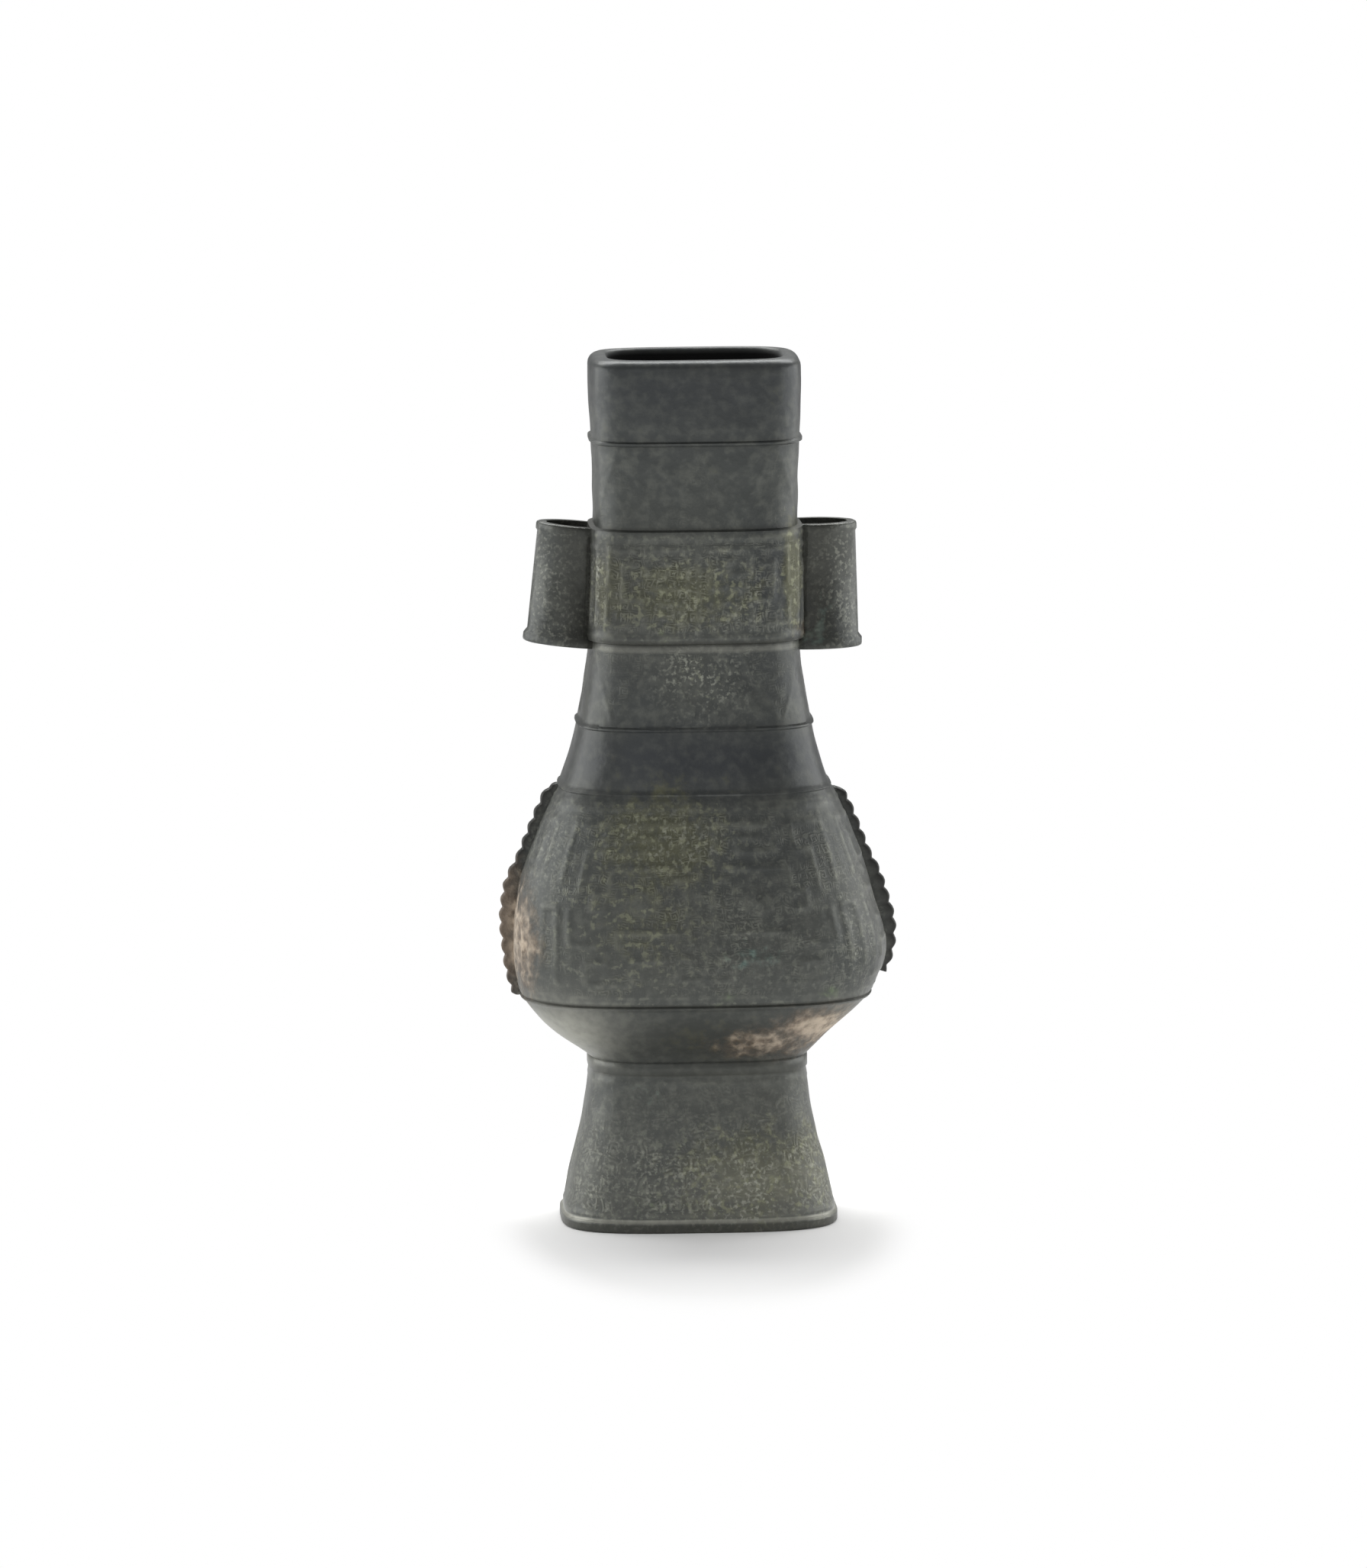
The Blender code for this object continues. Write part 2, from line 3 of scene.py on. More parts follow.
import bpy
import numpy as np
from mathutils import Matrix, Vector


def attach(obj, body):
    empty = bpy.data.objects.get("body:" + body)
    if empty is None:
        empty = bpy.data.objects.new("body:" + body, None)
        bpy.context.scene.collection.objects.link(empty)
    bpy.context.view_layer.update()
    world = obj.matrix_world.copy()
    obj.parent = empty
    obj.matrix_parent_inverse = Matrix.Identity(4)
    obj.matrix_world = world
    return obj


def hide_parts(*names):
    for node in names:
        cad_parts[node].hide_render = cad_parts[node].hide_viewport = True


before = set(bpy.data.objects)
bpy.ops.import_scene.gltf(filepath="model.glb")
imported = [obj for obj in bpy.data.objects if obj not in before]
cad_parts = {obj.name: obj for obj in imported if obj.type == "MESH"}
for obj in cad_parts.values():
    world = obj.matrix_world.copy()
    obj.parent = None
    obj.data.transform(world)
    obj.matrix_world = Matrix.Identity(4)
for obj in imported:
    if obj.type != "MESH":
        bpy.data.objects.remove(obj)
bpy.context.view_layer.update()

MM = 0.001

# Levels of the CAD solid, from the foot up
RIM_TOP = 0.0036
FOOT_TOP = 0.0485
WAIST = 0.0525
BORDER = 0.0717
BELLY_CREST = 0.0860
BELLY_MIDDLE = 0.1059
BELLY_TOP = 0.1370
SHOULDER_TOP = 0.1565
LUG_BAND_FOOT = 0.1825
LUG_BAND_TOP = 0.2180
MOUTH_BAND_FOOT = 0.2445
MOUTH = 0.2700
FLOOR_TOP = 0.0560
FLOOR_UNDERSIDE = 0.0515

# The solid's profile: height and half width, squareness, and sideways sway
RIM_HALF_WIDTH = 0.0430
RIM_FACE = 0.0030
RIM_BEVEL = 0.0005
FLATNESS = 0.70
TYPICAL_SQUARENESS = 3.2
RUN_POINTS = 4001
CONE_EASE = 1.3
CONE_SWELL = 0.55
BAND_BEVEL = 0.0005
FOOT_STATIONS = [(RIM_TOP, 0.0421), (0.0178, 0.03935), (0.0274, 0.0368), (FOOT_TOP, 0.03365)]
BODY_STATIONS = [
    (BORDER, 0.0541),
    (BELLY_CREST, 0.0577),
    (BELLY_MIDDLE, 0.05445),
    (0.1212, 0.0491),
    (0.1326, 0.0442),
    (BELLY_TOP, 0.0417),
    (SHOULDER_TOP, 0.0361),
    (LUG_BAND_FOOT, 0.03225),
    (0.2240, 0.0313),
    (0.2660, 0.03265),
    (MOUTH, 0.03265),
]
SQUARENESS = [(RIM_TOP, 3.5), (WAIST, 3.4), (BELLY_CREST, 2.9), (LUG_BAND_FOOT, 3.6), (MOUTH, 4.2)]
SWAY = [
    (0.0, -0.0003),
    (WAIST, -0.0006),
    (0.06114, -0.0022),
    (BORDER, -0.0011),
    (BELLY_CREST, 0.0003),
    (BELLY_MIDDLE, -0.0011),
    (BELLY_TOP, -0.0009),
    (LUG_BAND_FOOT, -0.0006),
    (LUG_BAND_TOP, -0.0001),
    (MOUTH, -0.0001),
]
LUG_BAND_RISE = 0.0015
# Raised bands and strings: foot, top, and how far each stands out
RAISED_BANDS = [
    (FOOT_TOP, WAIST, 0.00045),
    (BORDER - 0.00075, BORDER + 0.00075, 0.0006),
    (BELLY_TOP - 0.0006, BELLY_TOP + 0.0006, 0.0005),
    (SHOULDER_TOP - 0.00075, SHOULDER_TOP + 0.00075, 0.0007),
    (LUG_BAND_FOOT, LUG_BAND_TOP, LUG_BAND_RISE),
    (MOUTH_BAND_FOOT - 0.0008, MOUTH_BAND_FOOT + 0.0008, 0.0009),
]

# Walls and lip
WALL = 0.0035
LIP_THICKNESS = 0.0060
LIP_TAPER = 0.0140
LIP_ROUNDING = 0.0031
LIP_STEPS = 6
LIP_INNER_BEVEL = 0.0008
FOOT_WALL = 0.0040
FLOOR_CORNER = 0.002
HOLLOW_TOP_SHARES = (0.93, 0.9)
OVERRUN = 0.002

# Fineness of the visual mesh
QUARTER_COLUMNS = 73
CAVITY_COLUMNS = 24
LUG_COLUMNS = 72
FLANGE_ROWS = 240
RIM_OVERLAP = 0.0012
CORNER_CLEARANCE = 0.0004
LEAST_ROW_GAP = 0.00012
ROW_SPACING = {
    "rim": 0.0004,
    "foot": 0.00095,
    "cone": 0.0016,
    "belly": 0.00088,
    "shoulder": 0.0018,
    "lower neck": 0.00095,
    "lug band": 0.00092,
    "upper neck": 0.0012,
    "mouth band": 0.0022,
    "hollow of the cone": 0.0026,
    "hollow of the belly": 0.006,
    "hollow of the neck": 0.009,
    "hollow of the foot": 0.007,
    "lug bore": 0.006,
}
SHARP_EDGE_ANGLE = math.radians(50)

# Raised strokes of the belly's mask in millimetres: across from the middle line at the crest, and up
BELLY_STROKES = [
    [(0.0, 5.0), (0.0, 58.0)],
    [(0.0, 9.0), (8.5, 9.0), (8.5, 16.0), (4.2, 16.0), (4.2, 12.6)],
    [(4.2, 20.0), (4.2, 40.0), (8.2, 40.0)],
    [(8.6, 24.0), (26.0, 24.0), (26.0, 20.0)],
    [(8.6, 43.5), (29.0, 43.5), (29.0, 36.0), (33.5, 36.0), (33.5, 31.0), (30.0, 31.0)],
    [(5.2, 48.0), (5.2, 56.5), (26.0, 56.5), (26.0, 48.5), (13.0, 48.5), (13.0, 52.6), (20.0, 52.6)],
    [(12.5, 15.5), (22.0, 15.5), (22.0, 7.6), (36.0, 7.6), (36.0, 14.6), (29.5, 14.6), (29.5, 11.2)],
    [(33.0, 20.0), (41.5, 20.0), (41.5, 30.0)],
    [(38.5, 36.5), (38.5, 48.5), (33.0, 48.5), (33.0, 56.5), (46.0, 56.5), (46.0, 39.0)],
    [(46.0, 8.0), (46.0, 31.0), (51.5, 31.0), (51.5, 13.0)],
    [(57.0, 8.0), (70.0, 8.0), (70.0, 18.0), (61.5, 18.0), (61.5, 13.2)],
    [(57.0, 14.0), (57.0, 34.0), (68.0, 34.0), (68.0, 25.0), (62.5, 25.0)],
    [(55.0, 41.0), (55.0, 56.5), (70.0, 56.5), (70.0, 44.0), (61.0, 44.0), (61.0, 50.5), (65.0, 50.5)],
]
# Bosses: across, up, half width, half height, and rise as a share of a stroke's
BELLY_BOSSES = [(17.5, 33.0, 5.6, 4.0, 1.0), (17.5, 33.0, 1.9, 1.7, 1.8), (63.0, 40.0, 1.7, 1.7, 1.0)]
BELLY_REACH = 80.0
BELLY_LINES = [1.9, 3.2, 61.2, 62.4]

# Raised strokes of the small dragons round the lug band
DRAGON_STROKES = [
    [(0.0, 4.5), (0.0, 31.0)],
    [(3.2, 29.6), (15.0, 29.6), (15.0, 22.0), (9.6, 22.0)],
    [(3.2, 24.6), (3.2, 18.0), (13.0, 18.0)],
    [(4.6, 6.4), (4.6, 13.2), (11.0, 13.2), (11.0, 9.2), (8.0, 9.2)],
    [(15.4, 6.0), (15.4, 14.2), (21.6, 14.2), (21.6, 25.0), (18.4, 25.0)],
    [(19.0, 29.6), (26.0, 29.6), (26.0, 19.0)],
    [(20.0, 6.4), (26.6, 6.4), (26.6, 13.0)],
    [(31.0, 6.0), (31.0, 29.6), (36.0, 29.6)],
    [(35.0, 6.0), (35.0, 24.0)],
]
DRAGON_BOSSES = [(9.2, 25.6, 1.5, 1.3, 1.5)]
DRAGON_REACH = 46.0
BAND_LINES = [1.8, 3.0, 32.4, 33.7]

# Widths of the relief in millimetres, and its heights in metres
STROKE_HALF_WIDTH = 0.62
STROKE_SOFTNESS = 0.8
LINE_HALF_WIDTH = 0.15
LINE_EDGE = 0.75
BOSS_REACH = 1.35
STROKE_HEIGHT = 0.00042
LINE_HEIGHT = 0.00022

# Blades round the neck, in millimetres: a quarter of its girth, half of a blade's root, and the
# level of each row's tips with its height
NECK_QUARTER = 47.0
BLADE_HALF_WIDTH = 11.2
BLADE_SLANT = 0.9
LOWER_TIPS, LOWER_BLADE = 1.6, 23.4
UPPER_TIPS, UPPER_BLADE = 25.4, 24.0

# Fret: cells round a quarter of the body in each zone, and the height of a row in millimetres
FOOT_CELLS = 9
BELLY_CELLS = 22
NECK_CELLS = 14
FOOT_ROW = 5.9
FOOT_FIRST_ROW = 2.6
BELLY_ROW = 3.5
NECK_ROW = 3.4

# Where the fret begins and ends in its zone, and its soft edge; on the foot from each end of it
FOOT_FRET = (2.4, 3.2, 0.8)
BELLY_FRET = (3.8, 60.4, 0.8)
LUG_BAND_FRET = (3.6, 32.0, 0.6)
FOOT_LINES = (1.7, 2.4)

# The casting's waviness: its height, then layers as a share of it, a size in metres and a seed
CASTING_WAVINESS = 0.00016
BODY_WAVES = [(0.7, 0.045, 11), (0.5, 0.012, 12)]
LUG_WAVES = [(0.8, 0.02, 21), (0.7, 0.006, 22)]
WAVE_COUNT = 10
WAVE_REACH = 4.0


def end_slope(near_step, near_rise, far_step, far_rise):
    """Slope at an end of a smooth stretch, without overshoot."""
    slope = ((2 * near_step + far_step) * near_rise - near_step * far_rise) / (near_step + far_step)
    if slope * near_rise <= 0.0:
        return 0.0
    if near_rise * far_rise <= 0.0 and abs(slope) > 3 * abs(near_rise):
        return 3 * near_rise
    return slope


def smooth_through(stations, height):
    """Values at some heights of the smooth curve through the stations."""
    at, value = np.array(stations).T
    step = np.diff(at)
    rise = np.diff(value) / step
    slope = np.zeros(len(at))
    for index in range(1, len(step)):
        if rise[index - 1] * rise[index] > 0.0:
            first = 2 * step[index] + step[index - 1]
            second = step[index] + 2 * step[index - 1]
            slope[index] = (first + second) / (first / rise[index - 1] + second / rise[index])
    slope[0] = end_slope(step[0], rise[0], step[1], rise[1])
    slope[-1] = end_slope(step[-1], rise[-1], step[-2], rise[-2])
    height = np.clip(height, at[0], at[-1])
    low = np.clip(np.searchsorted(at, height, side="left") - 1, 0, len(step) - 1)
    span = step[low]
    share = (height - at[low]) / span
    rest = 1 - share
    return (
        (1 + 2 * share) * rest**2 * value[low]
        + share * rest**2 * span * slope[low]
        + share**2 * (3 - 2 * share) * value[low + 1]
        - share**2 * rest * span * slope[low + 1]
    )


def half_width(height):
    """Half width of the plain body at some heights."""
    height = np.asarray(height, float)
    foot_half = FOOT_STATIONS[0][1]
    slope_share = np.clip((height - RIM_FACE) / (RIM_TOP - RIM_FACE), 0.0, 1.0)
    rim = RIM_HALF_WIDTH - (RIM_HALF_WIDTH - foot_half) * slope_share
    rim = rim - np.clip(RIM_BEVEL - height, 0.0, RIM_BEVEL)
    share = np.clip((height - WAIST) / (BORDER - WAIST), 0.0, 1.0)
    waist_half = FOOT_STATIONS[-1][1]
    swollen = share**CONE_EASE + CONE_SWELL * share * (1 - share)
    cone = waist_half + (BODY_STATIONS[0][1] - waist_half) * swollen
    zones = [height < RIM_TOP, height < FOOT_TOP, height < WAIST, height < BORDER]
    forms = [rim, smooth_through(FOOT_STATIONS, height), np.full_like(height, waist_half), cone]
    return np.select(zones, forms, smooth_through(BODY_STATIONS, height))


def proud_at(height):
    """How far the raised bands stand out at some heights."""
    proud = np.zeros_like(height)
    for foot, top, rise in RAISED_BANDS:
        inside = np.clip(np.minimum(height - foot, top - height) / BAND_BEVEL, 0.0, 1.0)
        proud = np.maximum(proud, rise * inside)
    return proud


def oblong(across, deep, squareness, angle):
    """Points of a rounded oblong section in given directions."""
    side = np.cos(angle)
    front = np.sin(angle)
    reach = (np.abs(side) ** squareness + np.abs(front) ** squareness) ** (-1 / squareness)
    return across * reach * side, deep * reach * front


def quarter_run():
    """Directions over a quarter of a typical section and how far round it each one is."""
    angle = np.linspace(0.0, math.pi / 2, RUN_POINTS)
    x, y = oblong(1.0, FLATNESS, TYPICAL_SQUARENESS, angle)
    run = np.concatenate([[0.0], np.cumsum(np.hypot(np.diff(x), np.diff(y)))])
    return angle, run / run[-1]


def round_angles(count):
    """Directions all round a section, evenly spread along it, with this many to a quarter."""
    angle, run = quarter_run()
    quarter = np.interp(np.linspace(0.0, 1.0, count + 1), run, angle)
    back = quarter[::-1][:-1]
    return np.concatenate([quarter[:-1], math.pi - back, math.pi + quarter[:-1], 2 * math.pi - back])


def waves(points, size, seed):
    """Smooth random waviness between about -1 and 1, with features of this size."""
    draw = np.random.default_rng(seed)
    total = np.zeros(len(points))
    for _ in range(WAVE_COUNT):
        direction = draw.normal(size=3)
        direction *= draw.uniform(0.6, 1.5) / (np.linalg.norm(direction) * size)
        total += np.sin(2 * math.pi * points @ direction + draw.uniform(0.0, 2 * math.pi))
    return total / WAVE_REACH


def waviness(points, layers):
    """How far the casting strays outward at each point, in metres."""
    return CASTING_WAVINESS * sum(share * waves(points, size, seed) for share, size, seed in layers)


def ramp(value, low, high):
    """Smooth step from 0 at low to 1 at high."""
    share = np.clip((value - low) / (high - low), 0.0, 1.0)
    return share * share * (3 - 2 * share)


def between(value, low, high, edge):
    """1 from low to high, fading to 0 over a soft edge inside each."""
    return ramp(value, low, low + edge) * (1 - ramp(value, high - edge, high))


def stroke_mask(across, up, strokes):
    """1 on the raised strokes, 0 on the ground, soft between; all in millimetres."""
    nearest = np.full(len(across), 1e3)
    for stroke in strokes:
        for (x0, z0), (x1, z1) in zip(stroke, stroke[1:]):
            aside = np.maximum(np.maximum(min(x0, x1) - across, across - max(x0, x1)), 0.0)
            above = np.maximum(np.maximum(min(z0, z1) - up, up - max(z0, z1)), 0.0)
            nearest = np.minimum(nearest, np.maximum(aside, above))
    solid = STROKE_HALF_WIDTH - STROKE_SOFTNESS / 2
    return 1 - ramp(nearest, solid, STROKE_HALF_WIDTH + STROKE_SOFTNESS)


def boss_height(across, up, bosses):
    """Rounded bosses, as shares of a stroke's height."""
    total = np.zeros(len(across))
    for x, z, wide, high, rise in bosses:
        apart = ((across - x) / wide) ** 2 + ((up - z) / high) ** 2
        total = np.maximum(total, rise * ramp(BOSS_REACH - apart, 0.0, 1.0))
    return total


def line_mask(up, levels):
    """Thin raised lines round the body at these levels, in millimetres."""
    total = np.zeros(len(up))
    for level in levels:
        total = np.maximum(total, 1 - ramp(np.abs(up - level), LINE_HALF_WIDTH, LINE_EDGE))
    return total


def blade_masks(share, up, height):
    """Outline and inside of eight pointed blades round the neck; up runs from tip to root."""
    aside = np.min([np.abs(share - middle) for middle in (0.0, 0.5, 1.0)], axis=0) * NECK_QUARTER
    half = BLADE_HALF_WIDTH * np.clip(up / height, 0.0, 1.0)
    edge = (half - aside) * BLADE_SLANT
    live = ramp(up, 0.0, 1.2) * (1 - ramp(up, height - 0.4, height + 0.4))
    outline = (1 - ramp(np.abs(edge), 0.25, 0.95)) * live
    return outline, ramp(edge, 0.6, 1.4) * live


def figures(across, up, strokes, bosses, lines):
    """Relief height, raised mask and covered ground of strokes and bosses between raised lines."""
    lined = line_mask(up, lines)
    stroked = stroke_mask(across, up, strokes)
    bossed = boss_height(across, up, bosses)
    rise = LINE_HEIGHT * lined + STROKE_HEIGHT * np.maximum(stroked, bossed)
    capped = np.clip(bossed, 0.0, 1.0)
    return rise, np.maximum(np.maximum(stroked, lined), capped), np.maximum(stroked, capped)


def foot_ornament(share, up):
    """Fret between two raised lines, fainter towards the top."""
    span = (FOOT_TOP - RIM_TOP) / MM
    low, high, edge = FOOT_FRET
    lines = line_mask(up, [FOOT_LINES[0], span - FOOT_LINES[1]])
    fret = between(up, low, span - high, edge) * (1 - 0.6 * ramp(up, 20.0, 36.0))
    return LINE_HEIGHT * lines, lines, fret, share * FOOT_CELLS, (up - FOOT_FIRST_ROW) / FOOT_ROW


def belly_ornament(share, up):
    """The mask on a ground of fret, which is fainter towards the sides."""
    across = share * BELLY_REACH
    rise, raised, covered = figures(across, up, BELLY_STROKES, BELLY_BOSSES, BELLY_LINES)
    fret = between(up, *BELLY_FRET) * (1 - 0.85 * covered)
    fret *= 0.75 - 0.5 * ramp(share, 0.5, 0.75)
    return rise, raised, fret, share * BELLY_CELLS, up / BELLY_ROW


def lower_neck_ornament(share, up):
    """Blades that point down, with faint fret inside."""
    outline, inside = blade_masks(share, up - LOWER_TIPS, LOWER_BLADE)
    rise = 0.4 * STROKE_HEIGHT * outline
    return rise, 0.3 * outline, 0.4 * inside, share * NECK_CELLS, up / NECK_ROW


def lug_band_ornament(share, up):
    """The small dragons on a ground of fret."""
    across = share * DRAGON_REACH
    rise, raised, covered = figures(across, up, DRAGON_STROKES, DRAGON_BOSSES, BAND_LINES)
    fret = between(up, *LUG_BAND_FRET) * (1 - 0.8 * covered)
    return rise, raised, fret, share * NECK_CELLS, up / NECK_ROW


def upper_neck_ornament(share, up):
    """Blades that point up, nearly rubbed away."""
    outline, inside = blade_masks(share, UPPER_TIPS - up, UPPER_BLADE)
    rise = 0.25 * STROKE_HEIGHT * outline
    return rise, 0.15 * outline, 0.15 * inside, share * NECK_CELLS, up / NECK_ROW


def ornament(share, height):
    """Relief height in metres, raised mask, fret strength, and fret cells across and up."""
    zones = [
        (RIM_TOP, FOOT_TOP, foot_ornament),
        (BORDER, BELLY_TOP, belly_ornament),
        (SHOULDER_TOP, LUG_BAND_FOOT, lower_neck_ornament),
        (LUG_BAND_FOOT, LUG_BAND_TOP, lug_band_ornament),
        (LUG_BAND_TOP, MOUTH_BAND_FOOT, upper_neck_ornament),
    ]
    found = np.zeros((5, len(share)))
    for low, high, zone in zones:
        here = (height > low) & (height < high)
        found[:, here] = zone(share[here], (height[here] - low) / MM)
    return found


def rows_between(low, high, spacing):
    """Evenly spaced heights from low to high."""
    return list(np.linspace(low, high, max(1, math.ceil((high - low) / spacing)) + 1))


def skin_heights():
    """Heights of the skin's rows, fine where there is relief, with each band's corners."""
    zones = [
        ("rim", RIM_BEVEL, RIM_TOP + RIM_OVERLAP),
        ("foot", RIM_TOP, FOOT_TOP),
        ("cone", WAIST, BORDER),
        ("belly", BORDER, BELLY_TOP),
        ("shoulder", BELLY_TOP, SHOULDER_TOP),
        ("lower neck", SHOULDER_TOP, LUG_BAND_FOOT),
        ("lug band", LUG_BAND_FOOT, LUG_BAND_TOP),
        ("upper neck", LUG_BAND_TOP, MOUTH_BAND_FOOT),
        ("mouth band", MOUTH_BAND_FOOT, MOUTH - LIP_ROUNDING),
    ]
    heights = [0.0, RIM_BEVEL]
    for name, low, high in zones:
        heights += rows_between(low, high, ROW_SPACING[name])
    corners = []
    for foot, top, _ in RAISED_BANDS:
        corners += [foot, foot + BAND_BEVEL, top - BAND_BEVEL, top]
    kept = [h for h in heights if min(abs(h - corner) for corner in corners) > CORNER_CLEARANCE]
    ordered = []
    for height in sorted(kept + corners):
        if not ordered or height - ordered[-1] > LEAST_ROW_GAP:
            ordered.append(height)
    return np.array(ordered)


def side_faces(low, high, count):
    """Faces between two rings, given the number of the first point of each."""
    ring = np.arange(count)
    after = (ring + 1) % count
    return np.stack([low + ring, low + after, high + after, high + ring], axis=1).tolist()


def loft(rings):
    """Points and faces of a closed form through rings of the same length, lowest first."""
    count = len(rings[0])
    last = (len(rings) - 1) * count
    faces = [list(range(count))[::-1], list(range(last, last + count))]
    for low in range(0, last, count):
        faces += side_faces(low, low + count, count)
    return np.concatenate(rings), faces


def tube(rings):
    """Points and faces of a closed tube: the last ring joins the first."""
    count = len(rings[0])
    total = len(rings) * count
    faces = []
    for low in range(0, total, count):
        faces += side_faces(low, (low + count) % total, count)
    return np.concatenate(rings), faces


def mesh_object(name, points, faces):
    """A mesh object in the scene."""
    mesh = bpy.data.meshes.new(name)
    mesh.from_pydata(points.tolist(), [], faces)
    made = bpy.data.objects.new(name, mesh)
    bpy.context.scene.collection.objects.link(made)
    return made


def level_ring(height, across, deep, angle):
    """One level ring with the body's squareness and sway, as points."""
    x, y = oblong(across, deep, smooth_through(SQUARENESS, height), angle)
    return np.stack([smooth_through(SWAY, height) + x, y, np.full(len(angle), height)], axis=1)


def section_ring(height, growth, angle):
    """One ring of the body, grown evenly, as points."""
    half = half_width(height)
    return level_ring(height, half + growth, half * FLATNESS + growth, angle)


def width_slope(height):
    """How fast the half width grows with height."""
    return (half_width(height + BAND_BEVEL) - half_width(height - BAND_BEVEL)) / (2 * BAND_BEVEL)


def body_place(points):
    """Where points lie against the body.

    The share round it from the broad face to the side, the distance outside, and the direction
    outward in plan.
    """
    height = np.clip(points[:, 2], 0.0, MOUTH)
    half = half_width(height)
    proud = proud_at(height)
    across = half + proud
    deep = half * FLATNESS + proud
    squareness = smooth_through(SQUARENESS, height)
    x = (points[:, 0] - smooth_through(SWAY, height)) / across
    y = points[:, 1] / deep
    size = (np.abs(x) ** squareness + np.abs(y) ** squareness) ** (1 / squareness)
    angle, run = quarter_run()
    share = 1 - np.interp(np.arctan2(np.abs(y), np.abs(x)), angle, run)
    out_x = np.sign(x) * np.abs(x) ** (squareness - 1) / across
    out_y = np.sign(y) * np.abs(y) ** (squareness - 1) / deep
    length = np.hypot(out_x, out_y) + 1e-9
    # Distance along the outward direction, to first order
    slope = length / np.maximum(size, 1e-6) ** (squareness - 1)
    return share, (size - 1) / slope, out_x / length, out_y / length


def make_skin():
    """The outer form of the body with its low relief, as one closed mesh."""
    angle = round_angles(QUARTER_COLUMNS)
    rings = []
    for height in skin_heights():
        rings.append(section_ring(height, float(proud_at(np.array(height))), angle))
    for step in range(1, LIP_STEPS + 1):
        turn = math.pi / 2 * step / LIP_STEPS
        height = MOUTH - LIP_ROUNDING * (1 - math.sin(turn))
        rings.append(section_ring(height, -LIP_ROUNDING * (1 - math.cos(turn)), angle))
    points, faces = loft(rings)
    height = points[:, 2]
    share, _, out_x, out_y = body_place(points)
    # Plain where it stands, and calmer at the lip
    calm = ramp(height, 0.001, 0.006) * (1 - 0.6 * ramp(height, 0.262, 0.268))
    push = ornament(share, height)[0] + waviness(points, BODY_WAVES) * calm
    points[:, 0] += out_x * push
    points[:, 1] += out_y * push
    return mesh_object("vase", points, faces)


def wall_ring(height, angle):
    """One ring of the hollow inside, a wall's thickness in from the sloping skin."""
    return section_ring(height, -WALL * math.hypot(1.0, width_slope(height)), angle)


def make_cavity():
    """The hollow inside, open at the mouth."""
    angle = round_angles(CAVITY_COLUMNS)
    low = FLOOR_TOP + FLOOR_CORNER
    heights = rows_between(low, BORDER - WALL, ROW_SPACING["hollow of the cone"])
    heights += rows_between(BORDER + WALL, BELLY_TOP, ROW_SPACING["hollow of the belly"])
    heights += rows_between(BELLY_TOP, MOUTH - LIP_TAPER, ROW_SPACING["hollow of the neck"])[1:]
    floor_growth = -WALL * math.hypot(1.0, width_slope(FLOOR_TOP)) - FLOOR_CORNER
    rings = [section_ring(FLOOR_TOP, floor_growth, angle)]
    rings += [wall_ring(height, angle) for height in heights]
    # The inside of the lip, eased where it meets the top
    rings.append(section_ring(MOUTH - LIP_INNER_BEVEL * 2.5, -LIP_THICKNESS, angle))
    rings.append(section_ring(MOUTH - LIP_INNER_BEVEL, -LIP_THICKNESS + 0.0001, angle))
    rings.append(section_ring(MOUTH, LIP_INNER_BEVEL - LIP_THICKNESS, angle))
    over = rings[-1].copy()
    over[:, 2] = MOUTH + OVERRUN
    return mesh_object("cavity", *loft(rings + [over]))


def make_foot_hollow():
    """The hollow under the floor, open at the bottom of the foot."""
    angle = round_angles(CAVITY_COLUMNS)
    rings = []
    top_row = FLOOR_UNDERSIDE - FLOOR_CORNER
    for height in rows_between(0.0, top_row, ROW_SPACING["hollow of the foot"]):
        half = float(smooth_through(FOOT_STATIONS, height))
        rings.append(level_ring(height, half - FOOT_WALL, half * FLATNESS - FOOT_WALL, angle))
    top = rings[-1] * np.array([*HOLLOW_TOP_SHARES, 1.0])
    top[:, 2] = FLOOR_UNDERSIDE
    under = rings[0].copy()
    under[:, 2] = -OVERRUN
    return mesh_object("foot_hollow", *loft([under] + rings + [top]))


LUGS = {
    "left": {"side": -1, "lean": math.radians(5.6), "foot": LUG_BAND_FOOT - 0.0021},
    "right": {"side": 1, "lean": math.radians(0.5), "foot": LUG_BAND_FOOT - 0.0036},
}
LUG_TOP = LUG_BAND_TOP - 0.0003
LUG_TOP_RADIUS = 0.0130
LUG_FOOT_RADIUS = 0.0136
LUG_STANDOFF = 0.0172
LUG_FLATNESS = 0.72
LUG_WALL = 0.0024
LUG_CELL = 0.0037

# Outlines of a lug's collars: how far out from the tube, and how far in from its end
LUG_TOP_COLLAR = [(-0.0002, 0.0), (0.00035, 0.0003), (0.0005, 0.0008), (0.0005, 0.0023), (0.0, 0.0030)]
LUG_FOOT_COLLAR = [(0.0, 0.0039), (0.0010, 0.0025), (0.0010, 0.0008), (0.00085, 0.0003), (0.0003, 0.0)]


def lug_half_length(lug):
    """Half of a lug's length."""
    return (LUG_TOP - lug["foot"]) / 2


def lug_radius(lug, along):
    """Half width of a lug's tube, at a distance along it from its middle."""
    half = lug_half_length(lug)
    return LUG_FOOT_RADIUS + (LUG_TOP_RADIUS - LUG_FOOT_RADIUS) * (along + half) / (2 * half)


